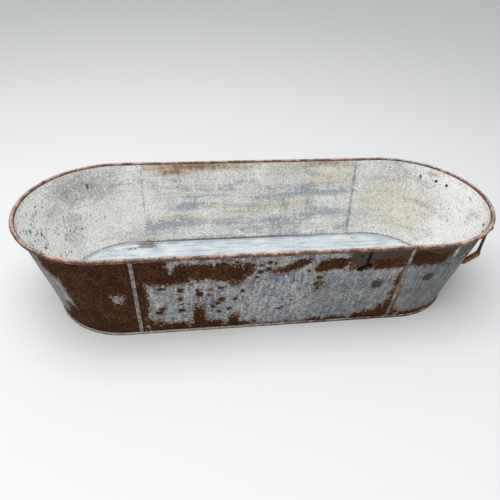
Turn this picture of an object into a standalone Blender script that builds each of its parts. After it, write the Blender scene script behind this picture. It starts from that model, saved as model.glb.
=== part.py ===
"""Livestock water trough in galvanised steel sheet, with round ends and flared walls.

Four wall sheets meet at folded lock seams, their top margins are rolled round a steel rod, and
a bottom plate is locked to their feet by a folded chime.  A forged bail hangs in riveted lugs at
the right-hand end.  Metres, +Z up, +X along the trough.  The origin is on the ground under the
middle.
"""

import math
from typing import NamedTuple

import bmesh
import bpy
from mathutils import Matrix, Vector

# Driving dimensions
RIM_LENGTH = 1.500        # over the centre line of the rolled rim
RIM_WIDTH = 0.554
RIM_HEIGHT = 0.327        # ground to the centre line of the rolled rim
BASE_LENGTH = 1.347       # over the outside of the chime
BASE_WIDTH = 0.461
SHEET = 0.0015            # thickness of every sheet
FIT_GAP = 0.0003          # gap between pieces that touch
WALL_TOP_GAP = 0.0008     # below the roll's start, as the sloping edge's inner corner stands higher
ARC_STEPS = 30            # facets round each half-circle end

# Rolled rim
ROLL_RADIUS = 0.0075
ROLL_START = 180.0        # degrees; the roll leaves the wall here, on its inner side
ROLL_SWEEP = -315.0       # over the top, down the outside and back under
ROLL_STEPS = 10
ROD_SIDES = 12

# Folded seams and chime
SEAM_X = 0.397            # the seams stand this far from the middle, front and back
SEAM_WIDTH = 0.011
SEAM_PROUD = 0.0035
SEAM_ROUNDING = 0.001
CHIME_HEIGHT = 0.009
CHIME_OUTER_LEG = 0.003
FOOT_TOP = 0.0105         # below this the walls stand upright in the chime
FLOOR_TOP = 0.0095
FLOOR_BEND = 0.002

# Lugs of the bail
LUG_ANGLE = 33.5          # degrees round the end from its outermost point
LUG_HALF_ANGLE = 7.0
LUG_HALF_HEIGHT = 0.023
LUG_TIP_LOSS = 0.5        # share of its height that the plate loses towards its two tips
LUG_TIP_POWER = 3         # how late that loss sets in
LUG_COLUMNS = 6
LUG_SHEET = 0.003
LUG_SINK = 0.001          # the raw plate starts this deep in the wall, until it is cut back
EAR_THICKNESS = 0.005
EAR_ROOT_HALF = 0.018
EAR_TURN = 100.0          # degrees that the ear's round tip reaches above and below its nose
EAR_STEPS = 12
EYE_RADIUS = 0.0095
EYE_HOLE_RADIUS = 0.0055
EYE_HOLE_SIDES = 16
PIVOT_X = 0.713
PIVOT_Z = 0.290

# Bail, measured from its pivot
BAIL_RADIUS = 0.005
BAIL_GRIP_RADIUS = 0.0105
BAIL_HEAD_RADIUS = 0.0078
BAIL_SIDE_PLAY = 0.001    # between a leg or a head and the ear
BAIL_SHOULDER_DROP = 0.110
BAIL_HALF_BOTTOM = 0.085
BAIL_DROP = 0.190
BAIL_BENDS = (0.0065, 0.024, 0.030)  # radii at the pin, at the shoulder and at the grip's end
BAIL_BEND_POINTS = 5
BAIL_POINT_GAP = 0.012    # longest stretch of the bar without a point
GRIP_START = 0.094        # below the pivot, where the leg starts to swell
GRIP_FULL = 0.111
HEAD_RINGS = ((0.0034, 0.6), (0.0030, 0.9), (0.0015, 1.0), (0.0004, 1.0))   # outwards, size

# Rivets
RIVET_ANGLE = 4.6         # degrees to each side of the lug's middle
RIVET_LOWER = 0.001       # below the pivot
RIVET_RADIUS = 0.003
RIVET_HEAD_RADIUS = 0.006
RIVET_HEAD_HEIGHT = 0.0028
RIVET_DOME_DEGREES = (0, 30, 60)
RIVET_TAIL_RADIUS = 0.005
RIVET_TAIL_FLAT = 0.85    # share of the tail's radius that is flat
RIVET_TAIL_HEIGHT = 0.0014
RIVET_TAIL_CLEAR = 0.00075
RIVET_SIDES = 12

# Shapes that only cut others
HOLE_CUTTER_DEPTH = 0.03
ENVELOPE_REACH = 0.06     # above and below the pivot
EYE_CUTTER_REACH = 0.2

# Worked-out sizes
RIM_RADIUS = RIM_WIDTH / 2
RIM_HALF = (RIM_LENGTH - RIM_WIDTH) / 2
BASE_RADIUS = BASE_WIDTH / 2
BASE_HALF = (BASE_LENGTH - BASE_WIDTH) / 2
WALL_TOP = RIM_HEIGHT - WALL_TOP_GAP
WALL_TOP_RADIUS = RIM_RADIUS - ROLL_RADIUS + SHEET
WALL_FOOT = SHEET + FIT_GAP
WALL_FOOT_RADIUS = BASE_RADIUS - CHIME_OUTER_LEG - FIT_GAP
FLOOR_RADIUS = WALL_FOOT_RADIUS - SHEET - FIT_GAP
INNER_LEG_RADIUS = FLOOR_RADIUS - SHEET - FIT_GAP


class Finish(NamedTuple):
    """Plain surface of one kind of piece."""

    colour: tuple
    roughness: float
    metallic: float


SIDE_ZINC = Finish((0.30, 0.31, 0.31), 0.55, 0.6)
END_ZINC = Finish((0.20, 0.15, 0.12), 0.75, 0.3)
FLOOR_ZINC = Finish((0.55, 0.60, 0.61), 0.50, 0.6)
SEAM_ZINC = Finish((0.38, 0.37, 0.36), 0.55, 0.6)
CHIME_STEEL = Finish((0.24, 0.18, 0.15), 0.70, 0.4)
RIM_RUST = Finish((0.33, 0.17, 0.12), 0.80, 0.2)
ROD_STEEL = Finish((0.20, 0.13, 0.10), 0.70, 0.5)
LUG_IRON = Finish((0.12, 0.09, 0.08), 0.70, 0.4)
RIVET_IRON = Finish((0.15, 0.11, 0.09), 0.65, 0.5)
BAIL_RUST = Finish((0.36, 0.19, 0.08), 0.80, 0.2)


def clear_scene():
    """Remove whatever the open file holds."""
    for obj in list(bpy.data.objects):
        bpy.data.objects.remove(obj, do_unlink=True)


def new_collection(name):
    """Return a new collection linked to the scene."""
    group = bpy.data.collections.new(name)
    bpy.context.scene.collection.children.link(group)
    return group


def dress(obj, finish):
    """Give a piece its own material."""
    material = bpy.data.materials.new(obj.name + "_finish")
    material.use_nodes = True
    shader = material.node_tree.nodes["Principled BSDF"]
    shader.inputs["Base Color"].default_value = (*finish.colour, 1.0)
    shader.inputs["Roughness"].default_value = finish.roughness
    shader.inputs["Metallic"].default_value = finish.metallic
    obj.data.materials.clear()
    obj.data.materials.append(material)


def mesh_object(name, bm, group, smooth=False):
    """Turn a bmesh into an object of the collection and free the bmesh."""
    mesh = bpy.data.meshes.new(name)
    bm.to_mesh(mesh)
    bm.free()
    if smooth:
        mesh.shade_smooth()
        mesh.set_sharp_from_angle(angle=math.radians(35))
    obj = bpy.data.objects.new(name, mesh)
    group.objects.link(obj)
    return obj


def as_cutter(obj):
    """Mark an object as a shape that only cuts others."""
    obj.hide_render = True
    obj.display_type = "WIRE"
    return obj


def turned_copy(source, name, finish):
    """Copy a piece to the opposite side by half a turn about the upright axis."""
    copy = source.copy()
    copy.data = source.data.copy()
    copy.name = name
    copy.matrix_basis = Matrix.Rotation(math.pi, 4, "Z") @ source.matrix_basis
    source.users_collection[0].objects.link(copy)
    dress(copy, finish)
    return copy


def cut(obj, cutter):
    """Cut one shape out of a piece."""
    modifier = obj.modifiers.new("cut_" + cutter.name, "BOOLEAN")
    modifier.operation = "DIFFERENCE"
    modifier.solver = "EXACT"
    modifier.object = cutter


def join(obj, other):
    """Add another shape to a piece."""
    modifier = obj.modifiers.new("join_" + other.name, "BOOLEAN")
    modifier.operation = "UNION"
    modifier.solver = "EXACT"
    modifier.object = other


def thicken(obj, thickness, offset):
    """Give a sheet its thickness, inwards for an offset of -1 and outwards for 1."""
    modifier = obj.modifiers.new("thickness", "SOLIDIFY")
    modifier.thickness = thickness
    modifier.offset = offset
    modifier.use_even_offset = True


def face_outwards(bm, centre):
    """Turn every face so that it looks away from a point."""
    bm.normal_update()
    wrong = [f for f in bm.faces if f.normal.dot(f.calc_center_median() - Vector(centre)) < 0]
    bmesh.ops.reverse_faces(bm, faces=wrong)


def end_line(half_straight, radius, height):
    """Outline of the right-hand end at one height, from the front seam to the back seam."""
    start = SEAM_X + FIT_GAP / 2
    angles = [math.radians(-90 + 180 * i / ARC_STEPS) for i in range(ARC_STEPS + 1)]
    arc = [(half_straight + radius * math.cos(a), radius * math.sin(a), height) for a in angles]
    return [(start, -radius, height), *arc, (start, radius, height)]


def front_line(radius, height):
    """Outline of the front sheet at one height, from seam to seam."""
    reach = SEAM_X - FIT_GAP / 2
    return [(-reach, -radius, height), (reach, -radius, height)]


def stadium(half_straight, radius):
    """Whole outline of the trough in plan, counter-clockwise."""
    points = []
    for side in (1, -1):
        for i in range(ARC_STEPS + 1):
            angle = math.radians(-90 + 180 * i / ARC_STEPS)
            x = half_straight + radius * math.cos(angle)
            points.append((side * x, side * radius * math.sin(angle)))
    return points


def add_line(bm, points, closed=False):
    """Add a chain of edges through the points and return them."""
    verts = [bm.verts.new(p) for p in points]
    pairs = list(zip(verts, verts[1:]))
    if closed:
        pairs.append((verts[-1], verts[0]))
    return [bm.edges.new(pair) for pair in pairs]


def lofted_sheet(name, lines, group, centre):
    """Bridge a stack of outlines into an open sheet that looks away from the centre."""
    bm = bmesh.new()
    chains = [add_line(bm, line) for line in lines]
    for lower, upper in zip(chains, chains[1:]):
        bmesh.ops.bridge_loops(bm, edges=lower + upper)
    face_outwards(bm, centre)
    return mesh_object(name, bm, group)


def wall_share(height):
    """How far up the flared wall a height lies, from 0 at the foot to 1 at the rim."""
    return (height - FOOT_TOP) / (WALL_TOP - FOOT_TOP)


def wall_radius(height):
    """Radius of the wall's outer face at a height, in the round ends."""
    return WALL_FOOT_RADIUS + (WALL_TOP_RADIUS - WALL_FOOT_RADIUS) * wall_share(height)


def wall_half(height):
    """Half the straight length of the wall at a height."""
    return BASE_HALF + (RIM_HALF - BASE_HALF) * wall_share(height)


def wall_point(angle, height, offset=0.0):
    """Point on the right-hand end's outer face, or offset outwards from it."""
    radius = wall_radius(height) + offset
    return Vector((wall_half(height) + radius * math.cos(angle), radius * math.sin(angle), height))


def wall_normal(angle):
    """Outward direction of the right-hand end's outer face."""
    rise = WALL_TOP - FOOT_TOP
    flare = (WALL_TOP_RADIUS - WALL_FOOT_RADIUS) / rise
    stretch = (RIM_HALF - BASE_HALF) / rise
    fall = -(flare + stretch * math.cos(angle))
    return Vector((math.cos(angle), math.sin(angle), fall)).normalized()


def end_panel(group):
    """Right-hand end sheet, before its rivet holes are cut."""
    lines = [
        end_line(BASE_HALF, WALL_FOOT_RADIUS, WALL_FOOT),
        end_line(BASE_HALF, WALL_FOOT_RADIUS, FOOT_TOP),
        end_line(RIM_HALF, WALL_TOP_RADIUS, WALL_TOP),
    ]
    sheet = lofted_sheet("right_end_panel", lines, group, (0, 0, RIM_HEIGHT / 2))
    thicken(sheet, SHEET, -1)
    sheet.data.shade_smooth()
    return sheet


def front_panel(group):
    """Front sheet between its two seams."""
    lines = [
        front_line(WALL_FOOT_RADIUS, WALL_FOOT),
        front_line(WALL_FOOT_RADIUS, FOOT_TOP),
        front_line(WALL_TOP_RADIUS, WALL_TOP),
    ]
    sheet = lofted_sheet("front_panel", lines, group, (0, 0, RIM_HEIGHT / 2))
    thicken(sheet, SHEET, -1)
    return sheet


def bottom_plate(group):
    """Floor sheet with its edge turned down inside the feet of the walls."""
    bm = bmesh.new()
    outline = stadium(BASE_HALF, FLOOR_RADIUS)
    top = add_line(bm, [(x, y, FLOOR_TOP) for x, y in outline], closed=True)
    lip = add_line(bm, [(x, y, WALL_FOOT) for x, y in outline], closed=True)
    bmesh.ops.bridge_loops(bm, edges=top + lip)
    bmesh.ops.contextual_create(bm, geom=top)
    face_outwards(bm, (0, 0, WALL_FOOT))
    plate = mesh_object("bottom_plate", bm, group)
    bend = plate.modifiers.new("bend", "BEVEL")
    bend.width = FLOOR_BEND
    bend.segments = 2
    bend.limit_method = "ANGLE"
    bend.angle_limit = math.radians(60)
    thicken(plate, SHEET, -1)
    return plate


def profile_cap(bm, profile, start_x, radius):
    """Put a cross-section upright on the front side; its first number is outwards, its second up."""
    verts = [bm.verts.new((start_x, -(radius + out), up)) for out, up in profile]
    return bm.faces.new(verts)


def drop_inner_face(bm, cap):
    """Delete a former end face once the bar runs on past it."""
    if cap.is_valid and all(len(edge.link_faces) > 2 for edge in cap.edges):
        bmesh.ops.delete(bm, geom=[cap], context="FACES_ONLY")


def run_along(bm, cap, step_x):
    """Extrude the end face along the trough and return the new end face."""
    made = bmesh.ops.extrude_face_region(bm, geom=[cap])["geom"]
    moved = [item for item in made if isinstance(item, bmesh.types.BMVert)]
    bmesh.ops.translate(bm, verts=moved, vec=(step_x, 0, 0))
    drop_inner_face(bm, cap)
    return next(item for item in made if isinstance(item, bmesh.types.BMFace))


def turn_round(bm, cap, centre_x):
    """Spin the end face half a turn round an end and return the new end face."""
    made = bmesh.ops.spin(bm, geom=[cap], cent=(centre_x, 0, 0), axis=(0, 0, 1),
                          angle=math.pi, steps=ARC_STEPS, use_duplicate=False)["geom_last"]
    drop_inner_face(bm, cap)
    return next(item for item in made if isinstance(item, bmesh.types.BMFace))


def front_bar(name, profile, radius, group):
    """Cross-section run along the front, from seam to seam."""
    bm = bmesh.new()
    reach = SEAM_X - FIT_GAP / 2
    cap = profile_cap(bm, profile, -reach, radius)
    run_along(bm, cap, 2 * reach)
    bmesh.ops.recalc_face_normals(bm, faces=bm.faces)
    return mesh_object(name, bm, group, smooth=True)


def end_bar(name, profile, half_straight, radius, group):
    """Cross-section run round the right-hand end, from the front seam to the back seam."""
    bm = bmesh.new()
    start = SEAM_X + FIT_GAP / 2
    cap = profile_cap(bm, profile, start, radius)
    cap = run_along(bm, cap, half_straight - start)
    cap = turn_round(bm, cap, half_straight)
    run_along(bm, cap, start - half_straight)
    bmesh.ops.recalc_face_normals(bm, faces=bm.faces)
    return mesh_object(name, bm, group, smooth=True)


def rim_rod(group):
    """Steel rod inside the whole rolled rim, with its two ends butted at the back."""
    bm = bmesh.new()
    radius = ROLL_RADIUS - SHEET - FIT_GAP
    angles = [2 * math.pi * i / ROD_SIDES for i in range(ROD_SIDES)]
    profile = [(radius * math.cos(a), RIM_HEIGHT + radius * math.sin(a)) for a in angles]
    cap = profile_cap(bm, profile, 0.0, RIM_RADIUS)
    cap = run_along(bm, cap, RIM_HALF)
    cap = turn_round(bm, cap, RIM_HALF)
    cap = run_along(bm, cap, -2 * RIM_HALF)
    cap = turn_round(bm, cap, -RIM_HALF)
    run_along(bm, cap, RIM_HALF - FIT_GAP)
    bmesh.ops.rotate(bm, verts=bm.verts, cent=(0, 0, 0), matrix=Matrix.Rotation(math.pi, 3, "Z"))
    bmesh.ops.recalc_face_normals(bm, faces=bm.faces)
    return mesh_object("rim_rod", bm, group, smooth=True)


def roll_profile():
    """Cross-section of the rolled edge: an almost closed curl of sheet."""
    outer = []
    inner = []
    for i in range(ROLL_STEPS + 1):
        angle = math.radians(ROLL_START + ROLL_SWEEP * i / ROLL_STEPS)
        for points, radius in ((outer, ROLL_RADIUS), (inner, ROLL_RADIUS - SHEET)):
            points.append((radius * math.cos(angle), RIM_HEIGHT + radius * math.sin(angle)))
    return outer + inner[::-1]


def chime_profile():
    """Cross-section of the chime: a trough-shaped fold that holds the wall's and floor's edges."""
    outer_in = -CHIME_OUTER_LEG
    inner_out = INNER_LEG_RADIUS - BASE_RADIUS
    inner_top = FLOOR_TOP - SHEET - FIT_GAP
    return [
        (0, 0), (0, CHIME_HEIGHT), (outer_in, CHIME_HEIGHT), (outer_in, SHEET),
        (inner_out, SHEET), (inner_out, inner_top), (inner_out - SHEET, inner_top),
        (inner_out - SHEET, 0),
    ]


def folded_seam(name, x, group):
    """Lock seam standing proud of the front wall, between the chime and the rolled rim."""
    low = FOOT_TOP
    high = RIM_HEIGHT - ROLL_RADIUS - FIT_GAP
    slope = (WALL_TOP_RADIUS - WALL_FOOT_RADIUS) / (WALL_TOP - FOOT_TOP)
    tilt = math.atan(slope)
    bm = bmesh.new()
    bmesh.ops.create_cube(bm, size=1.0)
    length = (high - low) / math.cos(tilt) - SEAM_PROUD * slope
    bmesh.ops.scale(bm, vec=(SEAM_WIDTH, SEAM_PROUD, length), verts=bm.verts)
    seam = mesh_object(name, bm, group)
    middle = (low + high) / 2
    lift = FIT_GAP + SEAM_PROUD / 2
    seam.location = (x, -wall_radius(middle) - lift * math.cos(tilt), middle - lift * math.sin(tilt))
    seam.rotation_euler = (tilt, 0, 0)
    edge = seam.modifiers.new("rounded_edge", "BEVEL")
    edge.width = SEAM_ROUNDING
    edge.segments = 2
    return seam


def cylinder_between(bm, start, direction, length, radius, sides):
    """Add a capped cylinder that starts at a point and runs along a direction."""
    turn = direction.to_track_quat("Z", "Y").to_matrix().to_4x4()
    place = Matrix.Translation(start + direction * (length / 2)) @ turn
    bmesh.ops.create_cone(bm, cap_ends=True, segments=sides, radius1=radius, radius2=radius,
                          depth=length, matrix=place)


def rivet_spots():
    """Angle and height of each rivet at the right-hand end."""
    spots = []
    for side in (-1, 1):
        for step in (-RIVET_ANGLE, RIVET_ANGLE):
            spots.append((math.radians(side * LUG_ANGLE + step), PIVOT_Z - RIVET_LOWER))
    return spots


def rivet_hole_cutter(group):
    """Cylinders for all the rivet holes."""
    bm = bmesh.new()
    for angle, height in rivet_spots():
        normal = wall_normal(angle)
        start = wall_point(angle, height) - normal * (HOLE_CUTTER_DEPTH / 2)
        cylinder_between(bm, start, normal, HOLE_CUTTER_DEPTH, RIVET_RADIUS + FIT_GAP, RIVET_SIDES)
    return as_cutter(mesh_object("rivet_holes", bm, group))


def wall_envelope_cutter(group):
    """Solid of the right-hand end's outer shape, one gap larger, for shaping what lies on it."""
    bm = bmesh.new()
    loops = []
    for height in (PIVOT_Z - ENVELOPE_REACH, PIVOT_Z + ENVELOPE_REACH):
        line = end_line(wall_half(height), wall_radius(height) + FIT_GAP, height)
        loops.append(add_line(bm, line, closed=True))
    bmesh.ops.bridge_loops(bm, edges=loops[0] + loops[1])
    for loop in loops:
        bmesh.ops.contextual_create(bm, geom=loop)
    bmesh.ops.recalc_face_normals(bm, faces=bm.faces)
    return as_cutter(mesh_object("wall_envelope", bm, group))


def lug_plate(name, side, group):
    """Leaf-shaped plate that hugs the round end, sunk into the wall until it is cut back."""
    low = []
    high = []
    for i in range(LUG_COLUMNS + 1):
        share = -1 + 2 * i / LUG_COLUMNS
        angle = math.radians(side * LUG_ANGLE + share * LUG_HALF_ANGLE)
        half = LUG_HALF_HEIGHT * (1 - LUG_TIP_LOSS * abs(share) ** LUG_TIP_POWER)
        low.append(wall_point(angle, PIVOT_Z - half, -LUG_SINK))
        high.append(wall_point(angle, PIVOT_Z + half, -LUG_SINK))
    plate = lofted_sheet(name, [low, high], group, (RIM_HALF, 0, PIVOT_Z))
    thicken(plate, LUG_SHEET + FIT_GAP + LUG_SINK, 1)
    return plate


def ear_middle():
    """Distance of a lug's ear from the trough's centre line."""
    return wall_point(math.radians(LUG_ANGLE), PIVOT_Z).y


def lug_ear(name, side, group):
    """Upright ear that carries the bail's eye, as a solid that the plate is joined to."""
    points = []
    for i in range(EAR_STEPS + 1):
        angle = math.radians(EAR_TURN - 2 * EAR_TURN * i / EAR_STEPS)
        points.append((PIVOT_X + EYE_RADIUS * math.cos(angle), PIVOT_Z + EYE_RADIUS * math.sin(angle)))
    root_x = wall_point(math.radians(LUG_ANGLE + LUG_HALF_ANGLE), PIVOT_Z).x
    points.append((root_x, PIVOT_Z - EAR_ROOT_HALF))
    points.append((root_x, PIVOT_Z + EAR_ROOT_HALF))
    bm = bmesh.new()
    near = side * ear_middle() - EAR_THICKNESS / 2
    face = bm.faces.new([bm.verts.new((x, near, z)) for x, z in points])
    made = bmesh.ops.extrude_face_region(bm, geom=[face])["geom"]
    moved = [item for item in made if isinstance(item, bmesh.types.BMVert)]
    bmesh.ops.translate(bm, verts=moved, vec=(0, EAR_THICKNESS, 0))
    bmesh.ops.recalc_face_normals(bm, faces=bm.faces)
    return as_cutter(mesh_object(name + "_ear", bm, group))


def eye_hole_cutter(group):
    """One long cylinder on the pivot axis, through both ears."""
    bm = bmesh.new()
    start = Vector((PIVOT_X, -EYE_CUTTER_REACH, PIVOT_Z))
    cylinder_between(bm, start, Vector((0, 1, 0)), 2 * EYE_CUTTER_REACH, EYE_HOLE_RADIUS,
                     EYE_HOLE_SIDES)
    return as_cutter(mesh_object("eye_hole", bm, group))


def rivet_mesh():
    """One rivet along +Z from the wall's outer face: a domed head outside, a flat tail inside."""
    head_base = LUG_SHEET + 2 * FIT_GAP
    tail_base = -(SHEET + RIVET_TAIL_CLEAR)
    tail_end = tail_base - RIVET_TAIL_HEIGHT
    dome = []
    for degrees in RIVET_DOME_DEGREES:
        angle = math.radians(degrees)
        dome.append((RIVET_HEAD_RADIUS * math.cos(angle),
                     head_base + RIVET_HEAD_HEIGHT * math.sin(angle)))
    tail = [(0.0, tail_end), (RIVET_TAIL_RADIUS * RIVET_TAIL_FLAT, tail_end),
            (RIVET_TAIL_RADIUS, tail_base - RIVET_TAIL_HEIGHT / 2), (RIVET_TAIL_RADIUS, tail_base)]
    shank = [(RIVET_RADIUS, tail_base), (RIVET_RADIUS, head_base)]
    profile = [*tail, *shank, *dome, (0.0, head_base + RIVET_HEAD_HEIGHT)]
    bm = bmesh.new()
    edges = add_line(bm, [(r, 0, h) for r, h in profile])
    bmesh.ops.spin(bm, geom=list(bm.verts) + edges, cent=(0, 0, 0), axis=(0, 0, 1),
                   angle=2 * math.pi, steps=RIVET_SIDES, use_duplicate=False)
    bmesh.ops.remove_doubles(bm, verts=bm.verts, dist=0.00001)
    bmesh.ops.recalc_face_normals(bm, faces=bm.faces)
    mesh = bpy.data.meshes.new("rivet")
    bm.to_mesh(mesh)
    bm.free()
    mesh.shade_smooth()
    mesh.set_sharp_from_angle(angle=math.radians(35))
    return mesh


def rivets(group):
    """Two rivets through each lug."""
    mesh = rivet_mesh()
    for (angle, height), name in zip(rivet_spots(), ("front_1", "front_2", "back_1", "back_2")):
        rivet = bpy.data.objects.new("rivet_right_" + name, mesh.copy())
        turn = wall_normal(angle).to_track_quat("Z", "Y").to_matrix().to_4x4()
        rivet.matrix_world = Matrix.Translation(wall_point(angle, height)) @ turn
        group.objects.link(rivet)
        dress(rivet, RIVET_IRON)


def rounded_corner(before, corner, after, radius):
    """Points round one bend of a bar, on an arc that touches both of its straights."""
    back = (before - corner).normalized()
    ahead = (after - corner).normalized()
    half = back.angle(ahead) / 2
    centre = corner + (back + ahead).normalized() * (radius / math.sin(half))
    start = corner + back * (radius / math.tan(half)) - centre
    end = corner + ahead * (radius / math.tan(half)) - centre
    turns = [start.slerp(end, i / BAIL_BEND_POINTS) for i in range(BAIL_BEND_POINTS + 1)]
    return [centre + turn.normalized() * radius for turn in turns]


def rounded_path(corners, radii):
    """Points along a bar with its corners rounded and its long straights divided."""
    places = [Vector(corner) for corner in corners]
    bends = [places[0]]
    for before, corner, after, radius in zip(places, places[1:], places[2:], radii):
        bends += rounded_corner(before, corner, after, radius)
    bends.append(places[-1])
    path = bends[:1]
    for start, end in zip(bends, bends[1:]):
        parts = max(1, math.ceil((end - start).length / BAIL_POINT_GAP))
        path += [start.lerp(end, i / parts) for i in range(1, parts + 1)]
    return path


def bail_swell(drop):
    """Radius of the bail at a distance below its pivot: a thin leg swelling into a thick grip."""
    share = min(1.0, max(0.0, (drop - GRIP_START) / (GRIP_FULL - GRIP_START)))
    smooth = share * share * (3 - 2 * share)
    return BAIL_RADIUS + (BAIL_GRIP_RADIUS - BAIL_RADIUS) * smooth


def bail_path():
    """Half of the bail's centre line, from its pin's end to the middle of the grip."""
    ear = ear_middle()
    leg = ear - EAR_THICKNESS / 2 - BAIL_SIDE_PLAY - BAIL_RADIUS
    pin_end = ear + EAR_THICKNESS / 2 + BAIL_SIDE_PLAY
    corners = [(0, pin_end, 0), (0, leg, 0), (0, leg, -BAIL_SHOULDER_DROP),
               (0, BAIL_HALF_BOTTOM, -BAIL_DROP), (0, 0, -BAIL_DROP)]
    return rounded_path(corners, BAIL_BENDS)


def bail(name, group):
    """Forged bail as one bent bar, with peened heads outside the ears and a thick grip."""
    half = bail_path()
    head = [(half[0] + Vector((0, out, 0)), size) for out, size in HEAD_RINGS]
    line = [(point, BAIL_HEAD_RADIUS * size) for point, size in head]
    line += [(point, bail_swell(-point.z)) for point in half]
    mirrored = [(Vector((0, -point.y, point.z)), radius) for point, radius in line[-2::-1]]
    line += mirrored
    curve = bpy.data.curves.new(name, "CURVE")
    curve.dimensions = "3D"
    curve.bevel_depth = 1.0
    curve.bevel_resolution = 2
    curve.use_fill_caps = True
    curve.twist_mode = "MINIMUM"
    spline = curve.splines.new("POLY")
    spline.points.add(len(line) - 1)
    for spot, (point, radius) in zip(spline.points, line):
        spot.co = (*point, 1)
        spot.radius = radius
    obj = bpy.data.objects.new(name, curve)
    obj.location = (PIVOT_X, 0, PIVOT_Z)
    group.objects.link(obj)
    return obj


def build_walls(group, holes):
    """Wall sheets and the folded seams that join them; the lugs' holes are in the right end."""
    right = end_panel(group)
    turned_copy(right, "left_end_panel", END_ZINC)
    cut(right, holes)
    dress(right, END_ZINC)
    front = front_panel(group)
    dress(front, SIDE_ZINC)
    turned_copy(front, "back_panel", SIDE_ZINC)
    for near, far, x in (("front_right", "back_left", SEAM_X), ("front_left", "back_right", -SEAM_X)):
        seam = folded_seam("seam_" + near, x, group)
        dress(seam, SEAM_ZINC)
        turned_copy(seam, "seam_" + far, SEAM_ZINC)


def build_base(group):
    """Bottom plate and the chime that locks it to the walls."""
    dress(bottom_plate(group), FLOOR_ZINC)
    profile = chime_profile()
    front = front_bar("chime_front", profile, BASE_RADIUS, group)
    end = end_bar("chime_right_end", profile, BASE_HALF, BASE_RADIUS, group)
    dress(front, CHIME_STEEL)
    dress(end, CHIME_STEEL)
    turned_copy(front, "chime_back", CHIME_STEEL)
    turned_copy(end, "chime_left_end", CHIME_STEEL)


def build_rim(group):
    """Rolled edges of the four sheets and the rod inside them."""
    profile = roll_profile()
    front = front_bar("rim_roll_front", profile, RIM_RADIUS, group)
    end = end_bar("rim_roll_right_end", profile, RIM_HALF, RIM_RADIUS, group)
    dress(front, RIM_RUST)
    dress(end, RIM_RUST)
    turned_copy(front, "rim_roll_back", RIM_RUST)
    turned_copy(end, "rim_roll_left_end", RIM_RUST)
    dress(rim_rod(group), ROD_STEEL)


def build_lugs(group, cutters, holes):
    """Two lugs: plates joined to their ears, cut to the wall's outside and bored."""
    envelope = wall_envelope_cutter(cutters)
    eye = eye_hole_cutter(cutters)
    for side, name in ((-1, "lug_right_front"), (1, "lug_right_back")):
        lug = lug_plate(name, side, group)
        join(lug, lug_ear(name, side, cutters))
        for cutter in (envelope, eye, holes):
            cut(lug, cutter)
        dress(lug, LUG_IRON)


def build_fastenings(group):
    """Rivets of the lugs, and the bail that hangs in them."""
    rivets(group)
    dress(bail("bail_right", group), BAIL_RUST)


def main():
    """Build the whole trough."""
    clear_scene()
    trough = new_collection("livestock_trough")
    cutters = new_collection("cutters")
    holes = rivet_hole_cutter(cutters)
    build_walls(trough, holes)
    build_base(trough)
    build_rim(trough)
    build_lugs(trough, cutters, holes)
    build_fastenings(trough)


main()
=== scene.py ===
"""Looks of a galvanised stock trough: worn sheets, folded seams, rolled rim, chime and drop bail.

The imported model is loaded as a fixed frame.  Each of its pieces is then stood for by a modelled
piece, or keeps its shape and gets a better finish.  Metres, +Z up, +X along the trough.
"""

import logging
import math
from dataclasses import dataclass, field
from enum import Enum
from typing import Any, Callable, Iterable, Mapping, Optional, Sequence, Union

import bmesh
import bpy
import numpy as np
from mathutils import Matrix, Vector


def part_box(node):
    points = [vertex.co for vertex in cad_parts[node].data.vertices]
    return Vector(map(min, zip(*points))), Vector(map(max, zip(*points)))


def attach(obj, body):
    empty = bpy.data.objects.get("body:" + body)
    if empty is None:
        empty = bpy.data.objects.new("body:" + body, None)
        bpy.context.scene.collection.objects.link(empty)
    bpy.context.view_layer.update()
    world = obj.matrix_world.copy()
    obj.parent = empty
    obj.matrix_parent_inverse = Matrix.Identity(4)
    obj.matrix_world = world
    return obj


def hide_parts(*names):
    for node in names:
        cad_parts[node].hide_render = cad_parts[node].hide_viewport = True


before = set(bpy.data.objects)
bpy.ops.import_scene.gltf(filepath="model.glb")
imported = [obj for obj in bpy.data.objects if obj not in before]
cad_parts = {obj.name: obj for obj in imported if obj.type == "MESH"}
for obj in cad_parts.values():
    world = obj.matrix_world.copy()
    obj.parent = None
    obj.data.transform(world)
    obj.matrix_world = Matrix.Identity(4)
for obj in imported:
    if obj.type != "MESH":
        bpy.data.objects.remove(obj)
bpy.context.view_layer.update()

log = logging.getLogger("trough")

NEAR = 1e-5               # two places closer than this are the same
CLOSE = 1e-3              # this near an end counts as at it
SMOOTH_BELOW = math.radians(35)
HALF_TURN = Matrix.Rotation(math.pi, 4, "Z")

Colour = tuple[float, float, float]


class Body(Enum):
    """Moving bodies of the frame."""

    TROUGH = "trough"
    RIGHT_BAIL = "right_bail"


class Slot(Enum):
    """Material slots of the record."""

    SIDE_SHEET = "side_sheet"
    END_SHEET = "end_sheet"
    SEAM = "seam"
    FLOOR_SHEET = "floor_sheet"
    CHIME = "chime"
    RIM_ROLL = "rim_roll"
    LUG = "lug"
    RIVET = "rivet"
    BAIL = "bail"


class Layer(Enum):
    """Kinds of wear painted on the sheets, each read by a finish as an attribute."""

    RUST = "rust"
    FILM_AND_SHADE = "film_and_shade"
    TAR = "tar"
    BLUE = "blue"
    BLEED = "bleed"
    PITS = "pits"
    SPOTS = "spots"
    BARE = "bare"
    TOP = "top"
    DULL_AND_SHADE = "dull"
    CREASE = "crease_dirt_and_shade"
    PALE = "pale"
    CREAM = "cream"
    SHADE = "shade"


def tint(red: int, green: int, blue: int) -> Colour:
    """Turn a colour picked on a 0 to 255 screen scale into the shader's linear scale.

    Args:
        red: Screen red.
        green: Screen green.
        blue: Screen blue.

    Returns:
        The linear colour.
    """
    shares = [part / 255 for part in (red, green, blue)]
    return tuple(s / 12.92 if s <= 0.04045 else ((s + 0.055) / 1.055) ** 2.4 for s in shares)


# Sizes ---------------------------------------------------------------------------------------


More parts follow.
